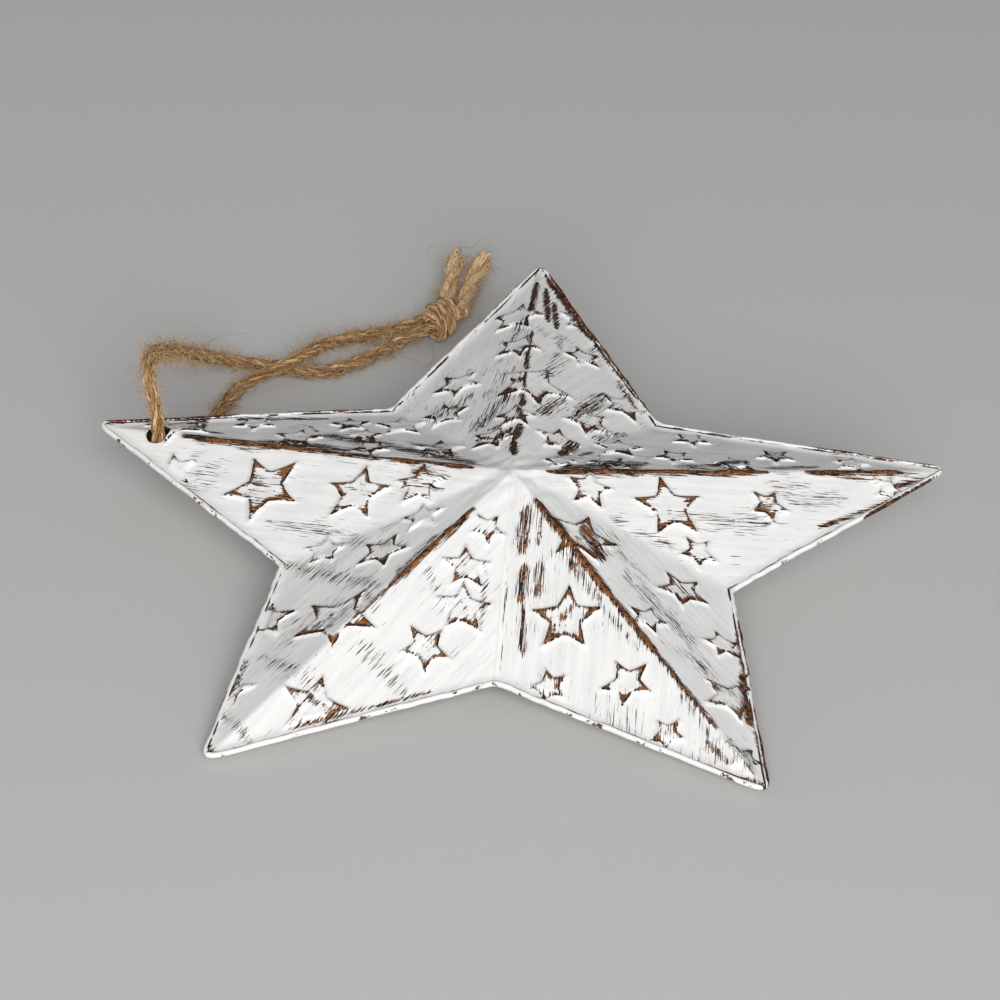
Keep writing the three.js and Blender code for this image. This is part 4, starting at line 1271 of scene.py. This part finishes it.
def loose_fibre_tree():
    board, given, finish = tree_with(
        "GeometryNodeTree",
        "loose fibres",
        {
            "Geometry": "Geometry",
            "Long ones": "Object",
            "Root radius": 1.25,
            "Per area": 0.3,
            "Shortest": 0.8,
            "Longest": 4.2,
            "Stand": 1.0,
            "Curl": 3.2,
            "Thickness": 0.055,
            "Seed": 1,
            "Jute": "Material",
        },
        {"Geometry": "Geometry"},
    )

    def chance(low, high, shift, kind="FLOAT"):
        return board.chance(low, high, kind, Seed=given["Seed"] + shift)

    route = board.make("GeometryNodeMeshToCurve", {"Mesh": given["Geometry"]})
    tube = board.swept(route, 8, given["Root radius"])
    values = {"Mesh": tube, "Density": given["Per area"], "Seed": given["Seed"]}
    roots = board.add("GeometryNodeDistributePointsOnFaces", values)
    upright = board.scaled(board.out(roots, "Normal"), given["Stand"])
    away = board.vector("ADD", upright, chance((-1, -1, -1), (1, 1, 1), 2, "FLOAT_VECTOR"))
    turn = board.make("FunctionNodeAlignRotationToVector", {"Vector": away}, axis="Z")
    line = board.make("GeometryNodeCurvePrimitiveLine", {"End": (0, 0, 1)})
    line = board.make("GeometryNodeResampleCurve", {"Curve": line, "Count": 8})
    length = chance(given["Shortest"], given["Longest"], 5)
    values = {"Points": board.out(roots, "Points"), "Instance": line, "Rotation": turn, "Scale": length}
    fibres = board.make("GeometryNodeInstanceOnPoints", values)
    fibres = board.make("GeometryNodeRealizeInstances", {0: fibres})
    share = board.make("GeometryNodeSplineParameter", key="Factor")
    place = board.make("GeometryNodeInputPosition")
    spot = board.vector("ADD", board.scaled(place, 0.42), board.joined(given["Seed"], 0, 0))
    sway = board.vector("SUBTRACT", board.noise(spot, 1.0, key="Color"), (0.5, 0.5, 0.5))
    values = {"Geometry": fibres, "Offset": board.scaled(sway, share * given["Curl"] * 2)}
    fibres = board.make("GeometryNodeSetPosition", values)
    long_ones = board.make("GeometryNodeObjectInfo", {"Object": given["Long ones"]}, "Geometry")
    both = board.together(fibres, board.make("GeometryNodeMeshToCurve", {"Mesh": long_ones}))
    x, y, z = board.parts(place)
    values = {"Geometry": both, "Position": board.joined(x, y, board.maths("MAXIMUM", z, LEAST_HEIGHT))}
    curves = board.stored(board.make("GeometryNodeSetPosition", values), "along", share * 5)
    curves = board.stored(curves, "tone", chance(0.6, 1.1, 9))
    solid = board.swept(curves, 3, Scale=given["Thickness"] * (1 - share * 0.5))
    smooth = board.make("GeometryNodeSetShadeSmooth", {0: solid})
    return board.finished(finish, smooth, given["Jute"])


loose_fibres = loose_fibre_tree()
print("loose fibres:", len(loose_fibres.nodes), "nodes")

# %% Long fibres, drawn one by one
LONG_FIBRES = [
    [
        (-73.6, 66, 17.6), (-70.2, 64, 20), (-66.8, 62, 23),
        (-63.3, 61, 24.7), (-59.8, 60, 25.4), (-57.3, 60, 27),
    ],
    [
        (-77, 20, 33), (-78, 18, 34.6), (-79.4, 16, 37),
        (-80, 15, 35.2), (-79, 15, 33.7), (-77.3, 17, 33.3),
    ],
    [(-76, 17, 30.7), (-77.5, 15, 31.8), (-79.4, 13, 33), (-80.7, 12, 34.8)],
    [(-74.2, 17, 32), (-72.5, 16, 33), (-71.6, 15, 32.4), (-72.6, 15, 31), (-74.3, 16, 30.4)],
    [(-75.4, 20, 34), (-73.4, 20, 34.6), (-71.2, 19, 34), (-69.5, 18, 33.8)],
    [(-74, 16, 30.6), (-71.3, 16, 31.3), (-68, 15, 30.6), (-64, 14, 30)],
    [(-75.4, 26, 34), (-74, 26, 36), (-72.2, 27, 35.6), (-71, 28, 36)],
    [(-74, 30, 34.4), (-72.7, 31, 31.3), (-70, 31, 29.2), (-69, 30, 27.3)],
    [(-75, 40, 29.6), (-71, 41, 32), (-69.4, 42, 33.4), (-69, 42, 35)],
    [
        (-24, 145.4, 6), (-27, 144, 7), (-28.8, 145.3, 8),
        (-28.2, 149, 8), (-26.2, 151.4, 7), (-24, 150, 6),
    ],
    [(-23.5, 149, 7), (-21.4, 149.7, 8), (-18.8, 147.2, 9), (-17.8, 145.6, 11), (-15.4, 146.4, 12)],
    [(-17.6, 138.5, 5), (-16, 131, 6), (-16.6, 127.2, 5), (-17.8, 125.5, 4)],
    [
        (-25.5, 110, 3), (-24, 105.6, 2), (-24.4, 102, 1),
        (-26, 100.7, 1), (-28.4, 103.5, 1), (-31.4, 105, 1),
    ],
    [(-16.2, 146.5, 6), (-13.5, 140, 7), (-12.3, 135.3, 7)],
]
print("long fibres:", len(LONG_FIBRES))

# %% Short fibres all along
STANDING = {}  # the tree's own values
CLOSE = {
    "Root radius": 1.44,
    "Per area": 1.7,
    "Shortest": 0.5,
    "Longest": 1.4,
    "Stand": 0.2,
    "Curl": 5.0,
}


def fibre_piece(name, lines, seed, long_ones=()):
    """Loose fibres along one or more lines, and the long ones with the first."""
    meshes = []
    for i, (line, values) in enumerate((line, values) for line in lines for values in (STANDING, CLOSE)):
        wanted = long_ones if i == 0 else ()
        drawn = new_object("drawn", route_mesh(*[smooth_line(points, 0.7) for points in wanted]))
        root = new_object("root_line", route_mesh(line))
        grown(root, loose_fibres, **{"Long ones": drawn}, Jute=jute, Seed=seed + i, **values)
        meshes.append(root.data)
        bpy.data.objects.remove(root)
        bpy.data.objects.remove(drawn)
    return placed(name, meshes)


IN_THE_HOLE = 9  # the first points of a strand, where no fibres are loose
front_fluff = fibre_piece("jute_fluff_front", [front_line[IN_THE_HOLE:]], 21, LONG_FIBRES)
back_fluff = fibre_piece("jute_fluff_back", [back_line[IN_THE_HOLE:]], 33)
end_fluff = fibre_piece("jute_fluff_ends", [tail_a, tail_b], 41)

# %% [markdown]
# Floor and light
#
# The star stands out by its facets, so the light is what shapes it. A broad soft lamp stands low on the
# camera's side: the facets that lean towards it are bright, and the far ones are half as bright. The
# pale world fills the shadows. The floor is plain, and keeps the star's and the twine's shadow.

# %% Floor, world and lamps
FLOOR_HALF = 4.0  # these are in metres and watts
LAMP_PLACE = Vector((0.26, -2.2, 0.98))
LAMP_SIZE = 1.0
LAMP_POWER = 66.5

bpy.context.scene.view_settings.view_transform = "Standard"
floor_mesh = bpy.data.meshes.new("floor")
corners = [(x * FLOOR_HALF, y * FLOOR_HALF, 0) for x, y in ((-1, -1), (1, -1), (1, 1), (-1, 1))]
floor_mesh.from_pydata(corners, [], [(0, 1, 2, 3)])
floor = new_object("floor", floor_mesh)
floor_paint = bpy.data.materials.new("pale_floor")
floor_paint.use_nodes = True
floor_shader = floor_paint.node_tree.nodes["Principled BSDF"]
floor_shader.inputs["Base Color"].default_value = (0.62, 0.62, 0.61, 1)
floor_shader.inputs["Roughness"].default_value = 0.8
floor_mesh.materials.append(floor_paint)

world = bpy.data.worlds.new("studio")
world.use_nodes = True
sky = world.node_tree.nodes["Background"]
sky.inputs["Color"].default_value = (0.97, 0.985, 1.0, 1)
sky.inputs["Strength"].default_value = 0.255
bpy.context.scene.world = world

lamp_data = bpy.data.lights.new("soft_key", "AREA")
lamp_data.size = LAMP_SIZE
lamp_data.energy = LAMP_POWER
lamp_data.color = (1.0, 0.99, 0.975)
lamp = new_object("soft_key", lamp_data)
lamp.location = LAMP_PLACE
lamp.rotation_euler = (-LAMP_PLACE).to_track_quat("-Z", "Y").to_euler()
print(f"the lamp stands {LAMP_PLACE.length:.2f} m away")

# %% [markdown]
# The pieces and their body
#
# Each piece rides on the one body and stands for its solid of the imported model, which is hidden. For
# each strand, its start, its length along the centreline that it follows and its points are worked out
# in metres, and then not used.

# %% Bodies, and slot names that are listed and not applied
STANDS_FOR = {
    front_sheet: ("front_shell", "worn_white_paint"),
    back_sheet: ("back_shell", "worn_white_paint"),
    front_jute: ("twine_front_strand", "jute"),
    back_jute: ("twine_back_strand", "jute"),
    knot: ("twine_knot", "jute"),
    end_a: ("twine_tail_a", "jute"),
    end_b: ("twine_tail_b", "jute"),
}
for piece, (node, slot) in STANDS_FOR.items():
    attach(piece, BODY)
    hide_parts(node)
for piece in (front_fluff, back_fluff, end_fluff):
    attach(piece, BODY)
print(len(STANDS_FOR), "pieces stand for the solids of the packed model")


# %% The strands' start, length and points, worked out and not used
def declare_strand(line):
    tuple(line[0] * MM)
    line_length(line) * MM
    [tuple(point * MM) for point in line]


declare_strand(front_line)
declare_strand(back_line)
